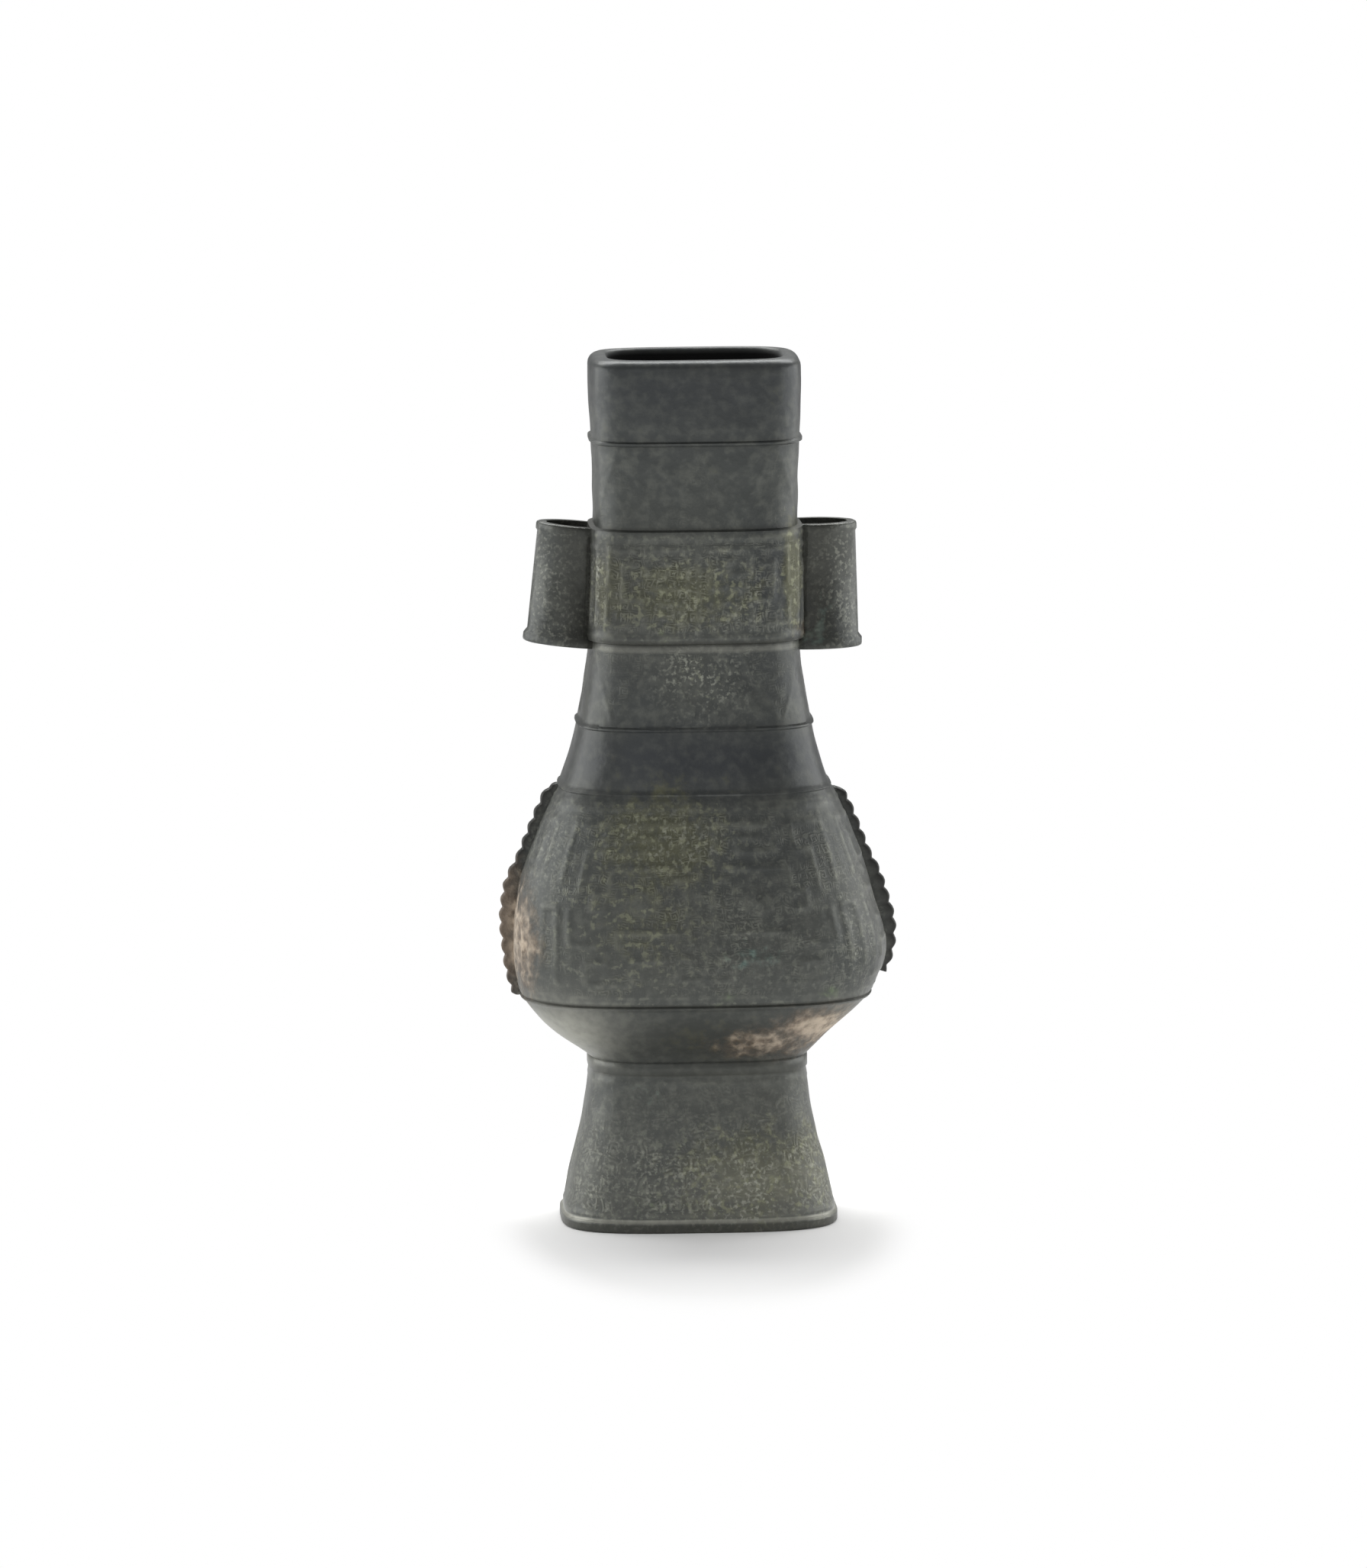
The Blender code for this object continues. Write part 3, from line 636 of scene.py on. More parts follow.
def lug_place(lug):
    """Middle of a lug and the direction of its axis."""
    middle = (lug["foot"] + LUG_TOP) / 2
    mean_radius = (LUG_TOP_RADIUS + LUG_FOOT_RADIUS) / 2
    reach = float(half_width(middle)) + LUG_BAND_RISE + LUG_STANDOFF - mean_radius
    centre = np.array([float(smooth_through(SWAY, middle)) + lug["side"] * reach, 0.0, middle])
    tilt = -lug["side"] * lug["lean"]
    return centre, np.array([math.sin(tilt), 0.0, math.cos(tilt)])


def make_lug(name, lug):
    """One tubular lug, open at both ends, with rounded collars."""
    centre, axis = lug_place(lug)
    half = lug_half_length(lug)
    outline = [(growth, half - down) for growth, down in LUG_TOP_COLLAR]
    outline += [(growth, up - half) for growth, up in LUG_FOOT_COLLAR]
    outline += [(-LUG_WALL, along) for along in rows_between(-half, half, ROW_SPACING["lug bore"])]
    angle = np.linspace(0.0, 2 * math.pi, LUG_COLUMNS, endpoint=False)
    outward = np.array([axis[2], 0.0, -axis[0]])
    rings = []
    for growth, along in outline:
        radius = lug_radius(lug, along)
        ring = centre + along * axis + (radius + growth) * np.cos(angle)[:, None] * outward
        ring[:, 1] += (radius * LUG_FLATNESS + growth) * np.sin(angle)
        rings.append(ring)
    points, faces = tube(rings[::-1])
    away = points - centre - ((points - centre) @ axis)[:, None] * axis
    away /= np.linalg.norm(away, axis=1)[:, None]
    return mesh_object(name, points + away * waviness(points, LUG_WAVES)[:, None], faces)


FLANGES = {
    "left": {"side": -1, "foot": BORDER - 0.0005, "top": BELLY_TOP, "blunt": False},
    "right": {"side": 1, "foot": BORDER + 0.0055, "top": BELLY_TOP - 0.0023, "blunt": True},
}
FLANGE_DEPTHS = [
    (BORDER, 0.0019),
    (BELLY_CREST, 0.0027),
    (0.0950, 0.0037),
    (0.1035, 0.0037),
    (0.1150, 0.0022),
    (BELLY_TOP, 0.0022),
]
FLANGE_HALF_THICKNESS = 0.0020
FLANGE_PITCH = 0.0046
FLANGE_TOOTH = 0.0009
TOOTH_SHARPNESS = 1.2
HEAD_TAPER = 0.0035
FOOT_TAPER = 0.0015
FLANGE_ROOT = 0.0012
FLANGE_EASING = 0.0007
LEAST_FLANGE = 0.00005


def flange_depth(flange, height):
    """How far a flange stands out at a height, with its notches and tapered ends."""
    depth = float(smooth_through(FLANGE_DEPTHS, height))
    notches = abs(math.sin(math.pi * ((height - BELLY_CREST) / FLANGE_PITCH + 0.5)))
    fade = min(1.0, (flange["top"] - height) / HEAD_TAPER)
    if not flange["blunt"]:
        fade = min(fade, (height - flange["foot"]) / FOOT_TAPER)
    tooth = notches**TOOTH_SHARPNESS
    return (depth + FLANGE_TOOTH * tooth) * math.sqrt(max(fade, 0.0)) + LEAST_FLANGE


def make_flange(name, flange):
    """One notched flange down the side of the belly, as rings across it."""
    side = flange["side"]
    thick = FLANGE_HALF_THICKNESS
    rings = []
    for height in np.linspace(flange["foot"], flange["top"], FLANGE_ROWS):
        out = flange_depth(flange, height)
        easing = min(FLANGE_EASING, out)
        back = [
            (out, thick - easing),
            (out - 0.3 * easing, thick - 0.3 * easing),
            (out - easing, thick),
            (-FLANGE_ROOT, thick),
        ]
        front = [(offset, -y) for offset, y in back[::-1]]
        slope = float(width_slope(height))
        length = math.hypot(1.0, slope)
        half = float(half_width(height))
        sway = float(smooth_through(SWAY, height))
        ring = []
        for offset, y in front + back:
            x = sway + side * (half + offset / length)
            ring.append((x, y * side, height - offset * slope / length))
        rings.append(np.array(ring))
    return mesh_object(name, *loft(rings))


def join_and_cut(vase, joined, cut):
    """Union the lugs and flanges with the skin, then cut the hollows; the result is one mesh."""
    for tool, operation in [(t, "UNION") for t in joined] + [(t, "DIFFERENCE") for t in cut]:
        step = vase.modifiers.new(tool.name, "BOOLEAN")
        step.operation = operation
        step.solver = "MANIFOLD"
        step.object = tool
    bpy.context.view_layer.update()
    evaluated = vase.evaluated_get(bpy.context.evaluated_depsgraph_get())
    mesh = bpy.data.meshes.new_from_object(evaluated)
    vase.modifiers.clear()
    old = vase.data
    vase.data = mesh
    bpy.data.meshes.remove(old)
    for tool in joined + cut:
        bpy.data.objects.remove(tool, do_unlink=True)
    mesh.name = "vase"


# Where each colour of the patina, the painted shade and the wear with painted sheen gathers: x, side
# (-1 front, 1 back, 0 both), z, widths, weight
PATCHES = {
    "olive": [
        (-0.013, -1, 0.123, 0.019, 0.015, 1.0),
        (-0.020, -1, 0.098, 0.024, 0.020, 0.55),
        (-0.004, -1, 0.198, 0.020, 0.010, 0.95),
        (-0.028, -1, 0.200, 0.005, 0.013, 0.9),
        (0.029, -1, 0.203, 0.003, 0.014, 1.4),
        (0.018, -1, 0.018, 0.024, 0.014, 1.0),
        (0.000, -1, 0.062, 0.018, 0.007, 0.5),
        (0.001, -1, 0.171, 0.009, 0.009, 0.35),
        (0.014, 1, 0.115, 0.024, 0.020, 0.8),
        (-0.012, 1, 0.022, 0.024, 0.014, 0.8),
        (0.006, 1, 0.200, 0.022, 0.012, 0.8),
    ],
    "teal": [
        (0.017, -1, 0.087, 0.010, 0.007, 0.7),
        (-0.022, -1, 0.042, 0.014, 0.007, 0.45),
        (0.036, 0, 0.182, 0.006, 0.0025, 0.7),
        (-0.024, 1, 0.096, 0.010, 0.008, 0.5),
    ],
    "green": [
        (0.0075, -1, 0.0745, 0.007, 0.0030, 0.7),
        (0.038, -1, 0.0755, 0.006, 0.0025, 0.9),
        (-0.014, -1, 0.187, 0.009, 0.004, 0.5),
        (-0.018, -1, 0.0095, 0.010, 0.0025, 0.6),
        (-0.010, 1, 0.075, 0.010, 0.003, 0.9),
    ],
    "rust": [
        (0.021, -1, 0.0593, 0.016, 0.0050, 0.80),
        (0.036, -1, 0.0640, 0.012, 0.0060, 1.15),
        (-0.059, 0, 0.092, 0.005, 0.019, 1.15),
        (-0.0555, -1, 0.090, 0.0048, 0.016, 0.95),
        (0.035, -1, 0.186, 0.005, 0.004, 0.5),
        (-0.030, 1, 0.061, 0.014, 0.007, 0.9),
    ],
    "pale": [
        (0.001, -1, 0.172, 0.010, 0.009, 1.1),
        (0.016, -1, 0.014, 0.026, 0.012, 1.0),
        (-0.018, -1, 0.016, 0.022, 0.012, 0.7),
        (0.000, 0, 0.018, 0.060, 0.015, 0.45),
        (0.006, -1, 0.198, 0.024, 0.014, 0.45),
        (-0.0315, -1, 0.204, 0.0022, 0.007, 1.3),
        (-0.042, 0, 0.199, 0.008, 0.016, 1.2),
        (0.042, 0, 0.199, 0.008, 0.016, 1.15),
        (-0.010, -1, 0.123, 0.018, 0.009, 0.55),
        (-0.048, -1, 0.118, 0.008, 0.018, 0.35),
        (0.048, -1, 0.092, 0.008, 0.018, 0.4),
        (0.010, -1, 0.096, 0.024, 0.016, 0.3),
        (0.000, 1, 0.171, 0.012, 0.012, 0.8),
        (0.000, 1, 0.110, 0.040, 0.024, 0.5),
    ],
    "blue": [
        (0.024, -1, 0.117, 0.020, 0.022, 0.35),
        (0.0, 0, 0.147, 0.050, 0.010, 1.3),
        (0.0, 0, 0.262, 0.060, 0.015, 0.9),
        (0.022, -1, 0.206, 0.006, 0.012, 0.8),
        (-0.024, -1, 0.172, 0.012, 0.012, 0.5),
        (0.024, -1, 0.172, 0.012, 0.012, 0.5),
    ],
    # Painted shade: the middle of the cone, the belly and the top of the foot, the lug band's left
    # corner, each lug's side next to the neck, and the belly's sides
    "shade": [
        (0.000, 0, 0.0600, 0.026, 0.0085, 0.75),
        (0.000, -1, 0.092, 0.028, 0.020, 0.30),
        (-0.026, -1, 0.200, 0.008, 0.016, 0.65),
        (-0.0375, 0, 0.199, 0.0048, 0.030, 1.3),
        (0.0382, 0, 0.199, 0.0040, 0.030, 1.2),
        (-0.050, -1, 0.098, 0.006, 0.020, 0.25),
        (0.050, -1, 0.098, 0.006, 0.020, 0.25),
        (-0.004, -1, 0.040, 0.026, 0.006, 0.15),
    ],
    # Painted reflection of the white floor at both ends of the cone, then worn places on the foot
    "wear_and_sheen": [
        (-0.044, 0, 0.0610, 0.014, 0.0095, 1.45),
        (0.046, 0, 0.0620, 0.010, 0.0080, 0.7),
        (-0.034, 0, 0.022, 0.008, 0.020, 0.10),
        (0.018, -1, 0.014, 0.028, 0.011, 0.40),
        (-0.018, -1, 0.014, 0.022, 0.010, 0.15),
        (-0.008, -1, 0.018, 0.050, 0.026, 0.15),
    ],
}

# Levels where painted shade lies as a dark line along a band or string, and how much
SHADE_LINES = [
    (FOOT_TOP, 0.8),
    (BORDER + 0.0008, 0.9),
    (LUG_BAND_FOOT + 0.0004, 1.3),
    (LUG_BAND_TOP, 0.40),
    (MOUTH_BAND_FOOT - 0.0010, 0.20),
]

# How a patch fades away from its middle, and where one on a broad face ends round the side
PATCH_FALL = 0.7
FACING_FADE = (-0.012, 0.004)


def patch(points, name):
    """How strongly one colour of patina, painted shade, or wear with painted sheen gathers at each
    point.
    """
    total = np.zeros(len(points))
    for x, side, z, wide, high, weight in PATCHES[name]:
        apart = ((points[:, 0] - x) / wide) ** 2 + ((points[:, 2] - z) / high) ** 2
        facing = ramp(side * points[:, 1], *FACING_FADE) if side else 1.0
        total = np.maximum(total, weight * np.exp(-PATCH_FALL * apart) * facing)
    return total


def write_attribute(mesh, name, *values):
    """Store three numbers a point for the shader to read."""
    data = np.stack(values, axis=1).astype(np.float32)
    mesh.attributes.new(name, "FLOAT_VECTOR", "POINT").data.foreach_set("vector", data.ravel())


# How far off the body's form its skin ends, and how far inside it the hollow's wall begins
SKIN_EDGE = (0.0009, 0.0013)
INSIDE_EDGE = (0.0018, 0.0028)

# Reach of a lug's paint off its tube and ends, where its skin ends and the painted shade of its bore
# begins, the plain margin at each end of its fret, and how far painted shade spreads from the corner
# behind it
TUBE_REACH = 0.0016
END_REACH = 0.0004
TUBE_SKIN = 0.0008
BORE_DEPTH = 0.0012
BORE_MARGIN = 0.0008
FRET_MARGIN = 0.0044
CORNER_REACH = 0.0012
SHADE_SPREAD = 0.0016


def hollow_shade_mask(outside, height):
    """Painted shade: where the hollows of the vase and the foot are dark."""
    deep = ramp(-outside, *INSIDE_EDGE)
    hollow_shade = deep * ramp(height, FLOOR_UNDERSIDE, FLOOR_TOP)
    hollow_shade = np.maximum(hollow_shade, deep * (1 - ramp(height, 0.0005, 0.002)) * 0.6)
    hollow_shade = np.maximum(hollow_shade, deep * (height < FLOOR_UNDERSIDE) * (height > 0.002))
    return hollow_shade * (1 - ramp(height, MOUTH - 0.0012, MOUTH - 0.0004))


def lug_coordinates(points, lug):
    """Where points lie against a lug: along its axis, outside its tube, and round it."""
    centre, axis = lug_place(lug)
    away = points - centre
    along = away @ axis
    away = away - along[:, None] * axis
    flat = away / np.array([1.0, LUG_FLATNESS, 1.0])
    share = lug_radius(lug, along) / (np.linalg.norm(flat, axis=1) + 1e-9)
    beyond = (1 - share) * np.linalg.norm(away, axis=1)
    return along, beyond, np.arctan2(flat[:, 1], lug["side"] * flat[:, 0])


def paint(mesh):
    """Work out, point by point, where ornament, painted shade, wear with painted highlights, and each
    patina colour lie.
    """
    points = np.zeros(len(mesh.vertices) * 3)
    mesh.vertices.foreach_get("co", points)
    points = points.reshape(-1, 3)
    share, outside, _, _ = body_place(points)
    height = points[:, 2]
    _, raised, fret, cells, rows = ornament(share, height)
    skin = 1 - ramp(np.abs(outside), *SKIN_EDGE)
    proud = outside > SKIN_EDGE[0]
    hollow_shade = hollow_shade_mask(outside, height)
    raised *= skin
    fret *= skin
    painted_shade = np.zeros(len(points))
    lug_area = np.zeros(len(points))
    for lug in LUGS.values():
        along, beyond, turn = lug_coordinates(points, lug)
        half = lug_half_length(lug)
        this_side = lug["side"] * points[:, 0] > 0
        near = (np.abs(along) < half + END_REACH) & (beyond < TUBE_REACH) & proud & this_side
        # Painted shade inside each lug's bore
        hollow_shade[near & (beyond < -BORE_DEPTH) & (np.abs(along) < half - BORE_MARGIN)] = 0.92
        on_tube = near & (beyond > -TUBE_SKIN)
        cells[on_tube] = 5.0 + turn[on_tube] * LUG_FOOT_RADIUS / LUG_CELL
        rows[on_tube] = along[on_tube] / LUG_CELL
        live = ramp(half - FRET_MARGIN - np.abs(along), 0.0, 0.0012)
        fret[on_tube] = 0.95 * live[on_tube]
        lug_area[near] = 1.0
        # Painted shade in the corner where each lug meets the neck
        meeting = near | (np.abs(outside) < CORNER_REACH)
        gap = np.abs(beyond) + np.abs(outside) * 0.5
        beside = (np.abs(along) < half) & meeting & this_side
        painted_shade[beside] = np.maximum(painted_shade[beside], np.exp(-gap[beside] / SHADE_SPREAD))
    flange = proud & (height > BORDER - 0.003) & (height < BELLY_TOP + 0.001)
    flange &= np.abs(points[:, 1]) < FLANGE_HALF_THICKNESS + 0.0005
    fret[flange] = 0.0
    raised[flange] = 0.0
    # Painted shade along the edges of the bands and strings
    for level, strength in SHADE_LINES:
        close = 1 - ramp(np.abs(height - level), 0.0002, 0.0010)
        painted_shade = np.maximum(painted_shade, strength * skin * close)
    # Painted shade on the foot rim's face, next to the floor
    painted_shade = np.maximum(painted_shade, 1.2 * skin * (1 - ramp(height, RIM_FACE - 0.0006, RIM_FACE)))
    painted_shade = np.clip(painted_shade + patch(points, "shade"), 0.0, 1.0)
    # Painted highlights: the top of the foot's rim, and the neck just below the lug band, where light
    # catches
    painted_highlight = skin * (1 - ramp(np.abs(height - RIM_TOP), 0.0003, 0.0008))
    under_band = 1 - ramp(np.abs(height - LUG_BAND_FOOT + 0.0016), 0.0004, 0.0012)
    painted_highlight = np.maximum(painted_highlight, 0.45 * skin * under_band)
    dark = np.maximum(flange.astype(float), 0.09 * lug_area)
    # Light grey: wear patches, the painted reflection at the cone's ends, and the painted highlights
    wear_and_sheen = np.maximum(patch(points, "wear_and_sheen"), 1.15 * painted_highlight)
    write_attribute(mesh, "fret", cells, rows, fret)
    write_attribute(mesh, "form", raised, np.clip(hollow_shade, 0.0, 1.0), painted_shade)
    write_attribute(mesh, "patina_a", *(patch(points, name) for name in ("olive", "teal", "rust")))
    write_attribute(mesh, "patina_b", *(patch(points, name) for name in ("green", "pale", "blue")))
    write_attribute(mesh, "zones", dark, lug_area, wear_and_sheen)


class Graph:
    """Adds and joins shader nodes with short calls, in a material or a world."""

    def __init__(self, owner):
        owner.use_nodes = True
        self.tree = owner.node_tree
        self.shader = self.tree.nodes.get("Principled BSDF")

    def node(self, kind):
        """A new node."""
        return self.tree.nodes.new(kind)

    def join(self, value, socket):
        """Link a socket, or set a plain value on it."""
        if isinstance(value, bpy.types.NodeSocket):
            self.tree.links.new(value, socket)
        else:
            socket.default_value = value

    def math(self, operation, *values, clamp=False):
        """A Math node."""
        node = self.node("ShaderNodeMath")
        node.operation = operation
        node.use_clamp = clamp
        for value, socket in zip(values, node.inputs):
            self.join(value, socket)
        return node.outputs[0]

    def add(self, first, second, clamp=False):
        """A sum."""
        return self.math("ADD", first, second, clamp=clamp)

    def less(self, first, second, clamp=False):
        """A difference."""
        return self.math("SUBTRACT", first, second, clamp=clamp)

    def times(self, first, second, clamp=False):
        """A product."""
        return self.math("MULTIPLY", first, second, clamp=clamp)

    def parts(self, name):
        """The three numbers stored on the points under this name."""
        node = self.node("ShaderNodeAttribute")
        node.attribute_name = name
        split = self.node("ShaderNodeSeparateXYZ")
        self.join(node.outputs["Vector"], split.inputs[0])
        return split.outputs

    def noise(self, scale, detail, seed):
        """Fractal noise over the object, with features of about 1/scale metres."""
        place = self.node("ShaderNodeTexCoord").outputs["Object"]
        node = self.node("ShaderNodeTexNoise")
        node.noise_dimensions = "4D"
        for name, value in (("Vector", place), ("W", seed), ("Scale", scale), ("Detail", detail)):
            self.join(value, node.inputs[name])
        return node.outputs["Fac"]

    def step(self, value, low, high, to_low=0.0, to_high=1.0):
        """Smooth step of a value from low to high."""
        node = self.node("ShaderNodeMapRange")
        node.interpolation_type = "SMOOTHSTEP"
        names = ("Value", "From Min", "From Max", "To Min", "To Max")
        for name, number in zip(names, (value, low, high, to_low, to_high)):
            self.join(number, node.inputs[name])
        return node.outputs["Result"]

    def blend(self, share, first, second):
        """One colour turning into another."""
        node = self.node("ShaderNodeMix")
        node.data_type = "RGBA"
        for index, value in ((0, share), (6, first), (7, second)):
            self.join(value, node.inputs[index])
        return node.outputs[2]

    def mix_shaders(self, share, first, second):
        """One shader turning into another."""
        node = self.node("ShaderNodeMixShader")
        for value, socket in zip((share, first, second), node.inputs):
            self.join(value, socket)
        return node.outputs[0]


def tone(red, green, blue):
    """The shader's colour for display values from 0 to 255."""
    linear = []
    for value in (red, green, blue):
        value /= 255
        linear.append(value / 12.92 if value <= 0.04045 else ((value + 0.055) / 1.055) ** 2.4)
    return (*linear, 1.0)


SPIRAL_TURNS = 3.6


def spiral(graph, cells, rows):
    """A squared spiral in every cell: 1 on its raised line, 0 between."""
    column = graph.math("FLOOR", cells)
    row = graph.math("FLOOR", rows)
    odd = graph.math("ABSOLUTE", graph.math("MODULO", graph.add(column, row), 2.0))
    # Neighbours wind opposite ways
    hand = graph.less(1.0, graph.times(odd, 2.0))
    x = graph.times(graph.less(graph.less(cells, column), 0.5), hand)
    y = graph.less(graph.less(rows, row), 0.5)
    reach = graph.math("MAXIMUM", graph.math("ABSOLUTE", x), graph.math("ABSOLUTE", y))
    turn = graph.math("DIVIDE", graph.math("ARCTAN2", y, x), 2 * math.pi)
    phase = graph.less(graph.times(reach, SPIRAL_TURNS), turn)
    wave = graph.math("ABSOLUTE", graph.less(graph.math("FRACT", phase), 0.5))
    line = graph.step(wave, 0.08, 0.42)
    gap = graph.step(reach, 0.42, 0.50)
    return graph.times(line, graph.less(1.0, gap))


# The shader's surface: heights are in metres, before the bump's strength
ROUGHNESS = 0.34
METALLIC = 0.40
FRET_RELIEF = 0.00020
MOTTLE_RELIEF = 0.00022
SPECK_RELIEF = 0.00010
CRUST_RELIEF = 0.0007
BUMP_STRENGTH = 0.75


def bronze():
    """Old bronze: satin grey patina, dirt in the fret, olive, teal, green and rust encrustation, with
    painted shade and painted highlights.
    """
    material = bpy.data.materials.new("patinated_bronze")
    graph = Graph(material)
    add, less, times, step = graph.add, graph.less, graph.times, graph.step
    cells, rows, fret = graph.parts("fret")
    raised, hollow_shade, painted_shade = graph.parts("form")
    olive, teal, rust = graph.parts("patina_a")
    green, pale, blue = graph.parts("patina_b")
    dark, lug_area, wear_and_sheen = graph.parts("zones")

    broad = graph.noise(26.0, 3.0, 1.0)
    cloudy = graph.noise(95.0, 4.0, 2.0)
    mottled = graph.noise(300.0, 4.0, 3.0)
    speckled = graph.noise(460.0, 3.0, 4.0)
    fine = graph.noise(820.0, 2.0, 5.0)
    drifting = graph.noise(95.0, 3.0, 6.0)

    def swing(noise, strength):
        """A noise centred on zero."""
        return times(less(noise, 0.5), strength)

    def gathered(mask, low, high):
        """A patch mask broken up by the finer noises."""
        broken = add(mask, swing(cloudy, 1.3))
        broken = add(broken, swing(mottled, 1.1))
        broken = add(broken, swing(speckled, 0.9))
        return step(broken, low, high)

    # The fret wanders a little and is rubbed away in places
    cells = add(cells, swing(cloudy, 1.7))
    rows = add(rows, swing(drifting, 1.6))
    wear = times(step(cloudy, 0.34, 0.64, 0.05, 1.0), step(mottled, 0.36, 0.62, 0.15, 1.0))
    lined = spiral(graph, cells, rows)
    line = times(times(lined, fret), wear)
    ground = times(times(less(1.0, lined), fret), wear)

    # How far each kind of mottling, wear with painted sheen, speck and crust covers what lies under it
    chalky = graph.math("MINIMUM", pale, 1.0)
    mottle = times(step(mottled, 0.40, 0.72, 0.0, 0.45), step(blue, 0.2, 0.8, 1.0, 0.55))
    light_line = times(line, add(0.22, times(chalky, 0.45)))
    light_wear_and_sheen = times(wear_and_sheen, step(mottled, 0.25, 0.65, 0.75, 1.1))
    marked = graph.math("MAXIMUM", times(graph.math("MAXIMUM", fret, raised), 0.85), pale)
    specks = times(step(speckled, 0.55, 0.66), graph.math("MINIMUM", marked, 1.0))
    bright = times(step(fine, 0.51, 0.66, 0.0, 0.60), step(cloudy, 0.32, 0.60, 0.25, 1.0))
    crust = times(gathered(rust, 0.0, 1.35), step(rust, 0.04, 0.40))
    paleness = step(add(rust, swing(mottled, 2.2)), 0.30, 1.30)
    crust_colour = graph.blend(paleness, tone(104, 84, 64), tone(204, 187, 166))

    # From the metal up: each layer's share and its colour
    layers = [
        (times(blue, 0.7, clamp=True), tone(54, 57, 61)),
        (mottle, tone(112, 114, 107)),
        (times(gathered(olive, 0.30, 1.0), 0.7), tone(92, 92, 66)),
        (times(ground, 0.42), tone(44, 45, 39)),
        (light_line, tone(146, 148, 136)),
        (times(times(raised, wear), 0.40), tone(130, 132, 120)),
        # Light grey wear, painted reflection and painted highlights
        (times(light_wear_and_sheen, 0.75, clamp=True), tone(160, 160, 150)),
        (times(specks, step(blue, 0.0, 0.7, 0.40, 0.14)), tone(146, 149, 136)),
        (times(specks, step(olive, 0.1, 0.7, 0.0, 0.62)), tone(142, 144, 116)),
        (times(bright, chalky), tone(190, 192, 178)),
        # Painted shade along bands and strings, by the lugs, on the rim's face and in the shade
        # patches
        (times(painted_shade, 0.6), tone(50, 50, 43)),
        (times(gathered(green, 0.55, 1.15), 0.6), tone(104, 120, 88)),
        (times(gathered(teal, 0.45, 1.1), 0.6), tone(100, 130, 124)),
        (times(crust, 0.85), crust_colour),
        (times(dark, 0.8), tone(34, 33, 31)),
        (times(times(dark, crust), 0.55), tone(132, 116, 100)),
        # Painted shade inside the hollows and the lugs' bores
        (times(hollow_shade, 0.97), tone(18, 18, 17)),
    ]
    colour = graph.blend(step(broad, 0.35, 0.65), tone(73, 76, 74), tone(82, 84, 80))
    for share, coat in layers:
        colour = graph.blend(share, colour, coat)
    graph.join(colour, graph.shader.inputs["Base Color"])

    rough = add(ROUGHNESS, times(fret, 0.14))
    rough = add(rough, times(mottled, 0.12))
    rough = add(rough, times(crust, 0.35))
    rough = add(rough, times(hollow_shade, 0.5), clamp=True)
    graph.join(rough, graph.shader.inputs["Roughness"])
    metal = less(METALLIC, times(crust, METALLIC), clamp=True)
    graph.join(metal, graph.shader.inputs["Metallic"])

    relief = times(line, FRET_RELIEF)
    relief = add(relief, times(mottled, MOTTLE_RELIEF))
    relief = add(relief, times(speckled, SPECK_RELIEF))
    grain = times(add(crust, times(lug_area, 0.4)), mottled)
    relief = add(relief, times(grain, CRUST_RELIEF))
    bump = graph.node("ShaderNodeBump")
    bump.inputs["Strength"].default_value = BUMP_STRENGTH
    bump.inputs["Distance"].default_value = 1.0
    graph.join(relief, bump.inputs["Height"])
    graph.join(bump.outputs["Normal"], graph.shader.inputs["Normal"])
    return material


def make_vase():
    """The whole casting in fine detail, standing for the CAD solid."""
    vase = make_skin()
    joined = [make_lug(name + "_lug", lug) for name, lug in LUGS.items()]
    joined += [make_flange(name + "_flange", flange) for name, flange in FLANGES.items()]
    join_and_cut(vase, joined, [make_cavity(), make_foot_hollow()])
    mesh = vase.data
    mesh.materials.clear()
    mesh.materials.append(bronze())
    mesh.shade_smooth()
    mesh.set_sharp_from_angle(angle=SHARP_EDGE_ANGLE)
    paint(mesh)
    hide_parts("arrow_vase")
    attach(vase, "root")


WHITE = (1.0, 1.0, 1.0, 1.0)
FLOOR_RADIUS = 1.6
FLOOR_SIDES = 96
# The floor takes the vase's shadow within this oval, and fades to plain white beyond it
POOL_HALF_WIDTH = 0.062
POOL_HALF_DEPTH = 0.148


def make_floor():
    """A white table top that shows the vase's shadow close to the foot alone."""
    angle = np.linspace(0.0, 2 * math.pi, FLOOR_SIDES, endpoint=False)
    points = np.stack([np.cos(angle), np.sin(angle), np.zeros(FLOOR_SIDES)], axis=1) * FLOOR_RADIUS
    floor = mesh_object("floor", points, [list(range(FLOOR_SIDES))])
    material = bpy.data.materials.new("white_table")
    graph = Graph(material)
    nodes = graph.tree.nodes
    shader = graph.shader
    shader.inputs["Base Color"].default_value = (0.92, 0.92, 0.915, 1.0)
    shader.inputs["Roughness"].default_value = 0.9
    shader.inputs["Specular IOR Level"].default_value = 0.1
    glow = nodes.new("ShaderNodeEmission")
    glow.inputs["Color"].default_value = WHITE
    glow.inputs["Strength"].default_value = 1.0
    pool = nodes.new("ShaderNodeVectorMath")
    pool.operation = "DIVIDE"
    graph.join(nodes.new("ShaderNodeTexCoord").outputs["Object"], pool.inputs[0])
    pool.inputs[1].default_value = (POOL_HALF_WIDTH, POOL_HALF_DEPTH, 1.0)
    length = nodes.new("ShaderNodeVectorMath")
    length.operation = "LENGTH"
    graph.join(pool.outputs[0], length.inputs[0])
    far = graph.step(length.outputs["Value"], 0.82, 1.12, 0.12, 1.0)
    mixed = graph.mix_shaders(far, shader.outputs[0], glow.outputs[0])
    graph.join(mixed, nodes["Material Output"].inputs["Surface"])
    floor.data.materials.append(material)


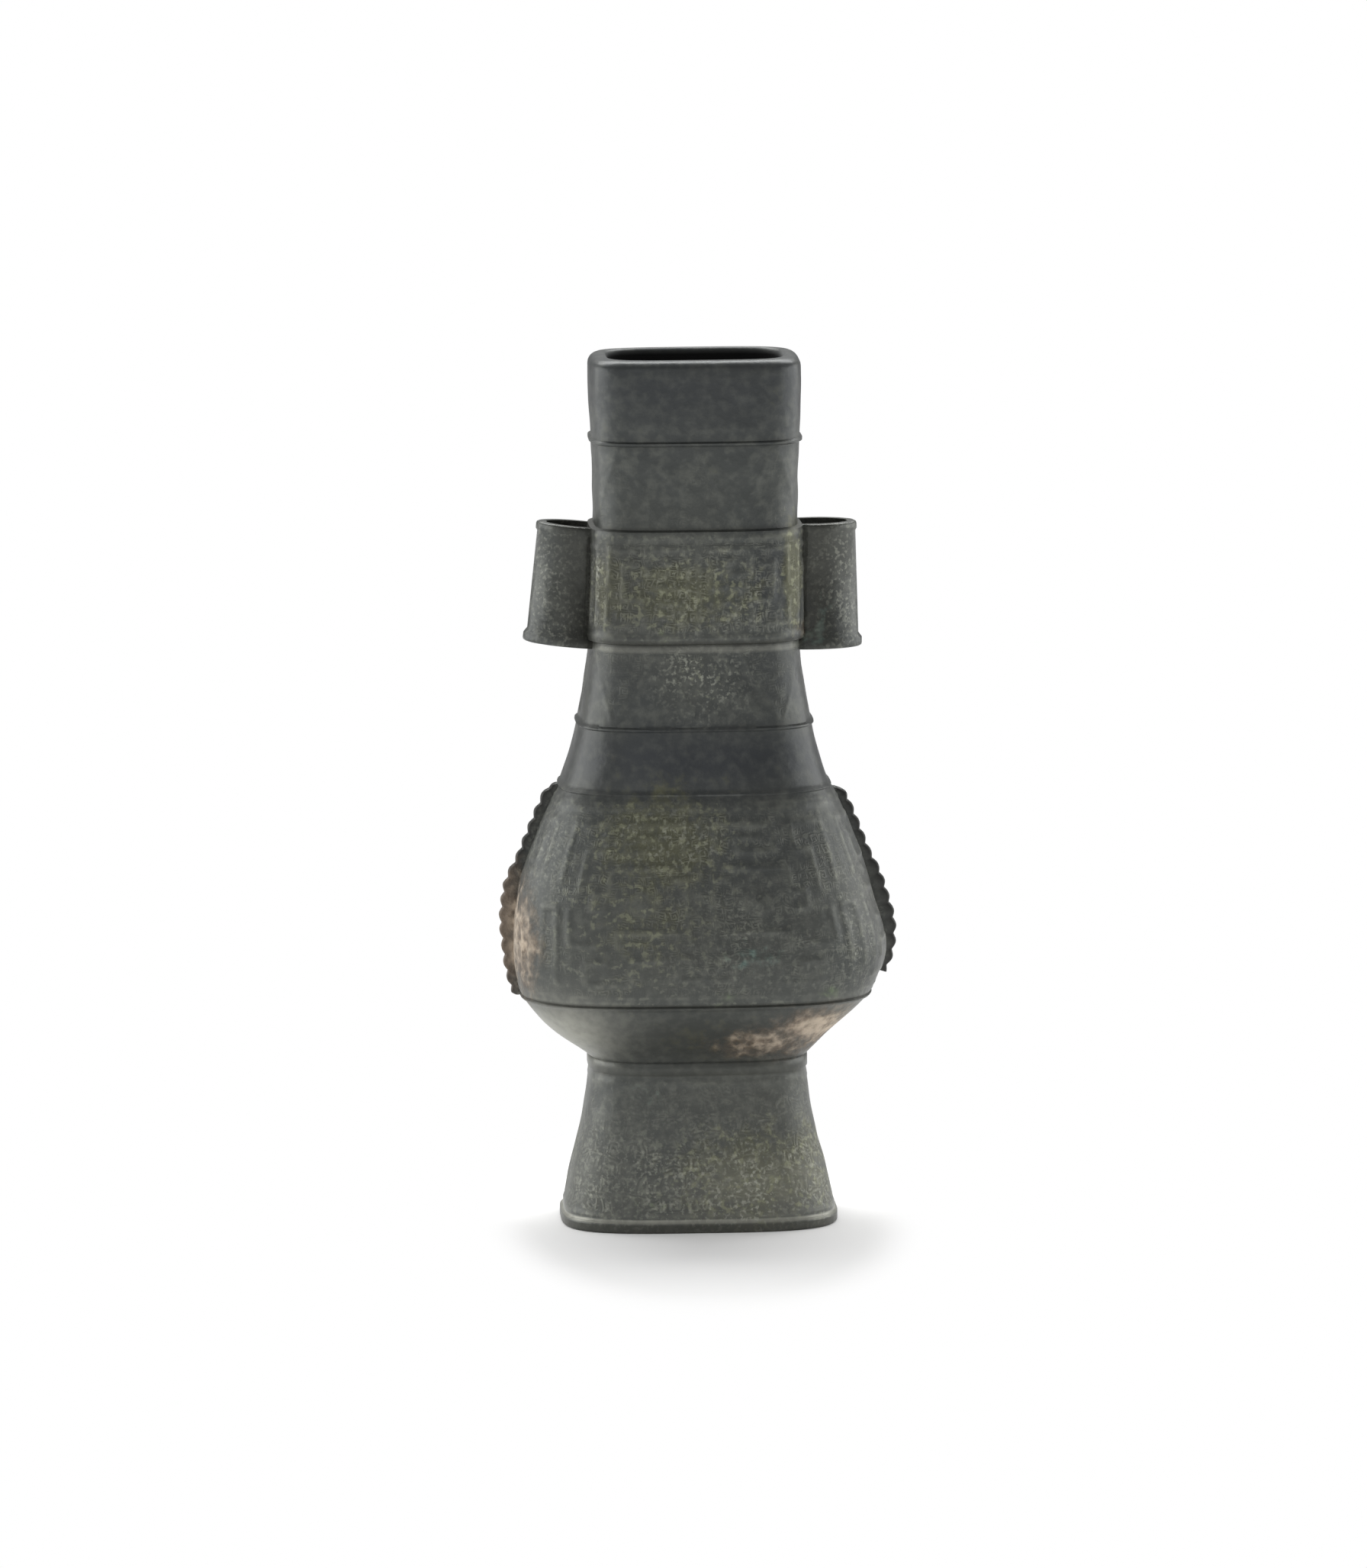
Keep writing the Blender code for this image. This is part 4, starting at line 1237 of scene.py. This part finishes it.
def softbox(name, place, aim, width, height, radiance):
    """A soft rectangular light aimed at a point."""
    light = bpy.data.lights.new(name, "AREA")
    light.shape = "RECTANGLE"
    light.size = width
    light.size_y = height
    light.energy = radiance * math.pi * width * height
    lamp = bpy.data.objects.new(name, light)
    lamp.location = place
    lamp.rotation_euler = (Vector(aim) - Vector(place)).to_track_quat("-Z", "Y").to_euler()
    bpy.context.scene.collection.objects.link(lamp)


# Each softbox's place, the point it is aimed at, and its width, height and radiance
SOFTBOXES = {
    "top": ((0.0, 0.60, 1.10), (0.0, 0.0, 0.0), 1.7, 0.6, 6.2),
    "left": ((-1.0, 0.08, 0.34), (0.0, 0.0, 0.12), 1.35, 0.62, 2.65),
    "right": ((1.0, 0.08, 0.34), (0.0, 0.0, 0.12), 1.35, 0.62, 2.3),
    "front": ((-0.5, -2.2, 1.0), (0.0, 0.0, 0.13), 1.2, 0.9, 1.0),
}
ROOM_STRENGTH = 0.25
BACKDROP_STRENGTH = 1.0


def make_lights():
    """Softboxes above, at both sides and in front, in a dim room with a white backdrop."""
    for name, box in SOFTBOXES.items():
        softbox(name, *box)
    world = bpy.data.worlds.new("studio")
    bpy.context.scene.world = world
    graph = Graph(world)
    nodes = graph.tree.nodes
    room = nodes["Background"]
    backdrop = nodes.new("ShaderNodeBackground")
    for node, strength in ((room, ROOM_STRENGTH), (backdrop, BACKDROP_STRENGTH)):
        node.inputs["Color"].default_value = WHITE
        node.inputs["Strength"].default_value = strength
    seen = nodes.new("ShaderNodeLightPath").outputs["Is Camera Ray"]
    mixed = graph.mix_shaders(seen, room.outputs[0], backdrop.outputs[0])
    graph.join(mixed, nodes["World Output"].inputs["Surface"])
    bpy.context.scene.view_settings.view_transform = "Standard"


# The photograph's view
IMAGE_HEIGHT = 2055
PIXELS_PER_METRE = 4230
CAMERA_TARGET = (-0.0041, 0.0, 0.136)
CAMERA_DISTANCE = 3.4
CAMERA_AZIMUTH = math.radians(-3.0)
CAMERA_ELEVATION = math.radians(8.6)
CAMERA_ROLL = math.radians(-0.36)
SENSOR_HEIGHT = 36.0


def make_camera():
    """The camera at the photograph's angle and framing."""
    data = bpy.data.cameras.new("camera")
    data.sensor_fit = "VERTICAL"
    data.sensor_height = SENSOR_HEIGHT
    data.lens = PIXELS_PER_METRE * CAMERA_DISTANCE / IMAGE_HEIGHT * SENSOR_HEIGHT
    camera = bpy.data.objects.new("camera", data)
    flat = math.cos(CAMERA_ELEVATION)
    x = math.sin(CAMERA_AZIMUTH) * flat
    y = -math.cos(CAMERA_AZIMUTH) * flat
    away = Vector((x, y, math.sin(CAMERA_ELEVATION)))
    camera.location = Vector(CAMERA_TARGET) + CAMERA_DISTANCE * away
    aim = (-away).to_track_quat("-Z", "Y").to_matrix()
    roll = Vector((0.0, 0.0, 1.0))
    camera.rotation_euler = (aim @ aim.Rotation(CAMERA_ROLL, 3, roll)).to_euler()
    bpy.context.scene.collection.objects.link(camera)
    bpy.context.scene.camera = camera


make_vase()
make_floor()
make_lights()
make_camera()
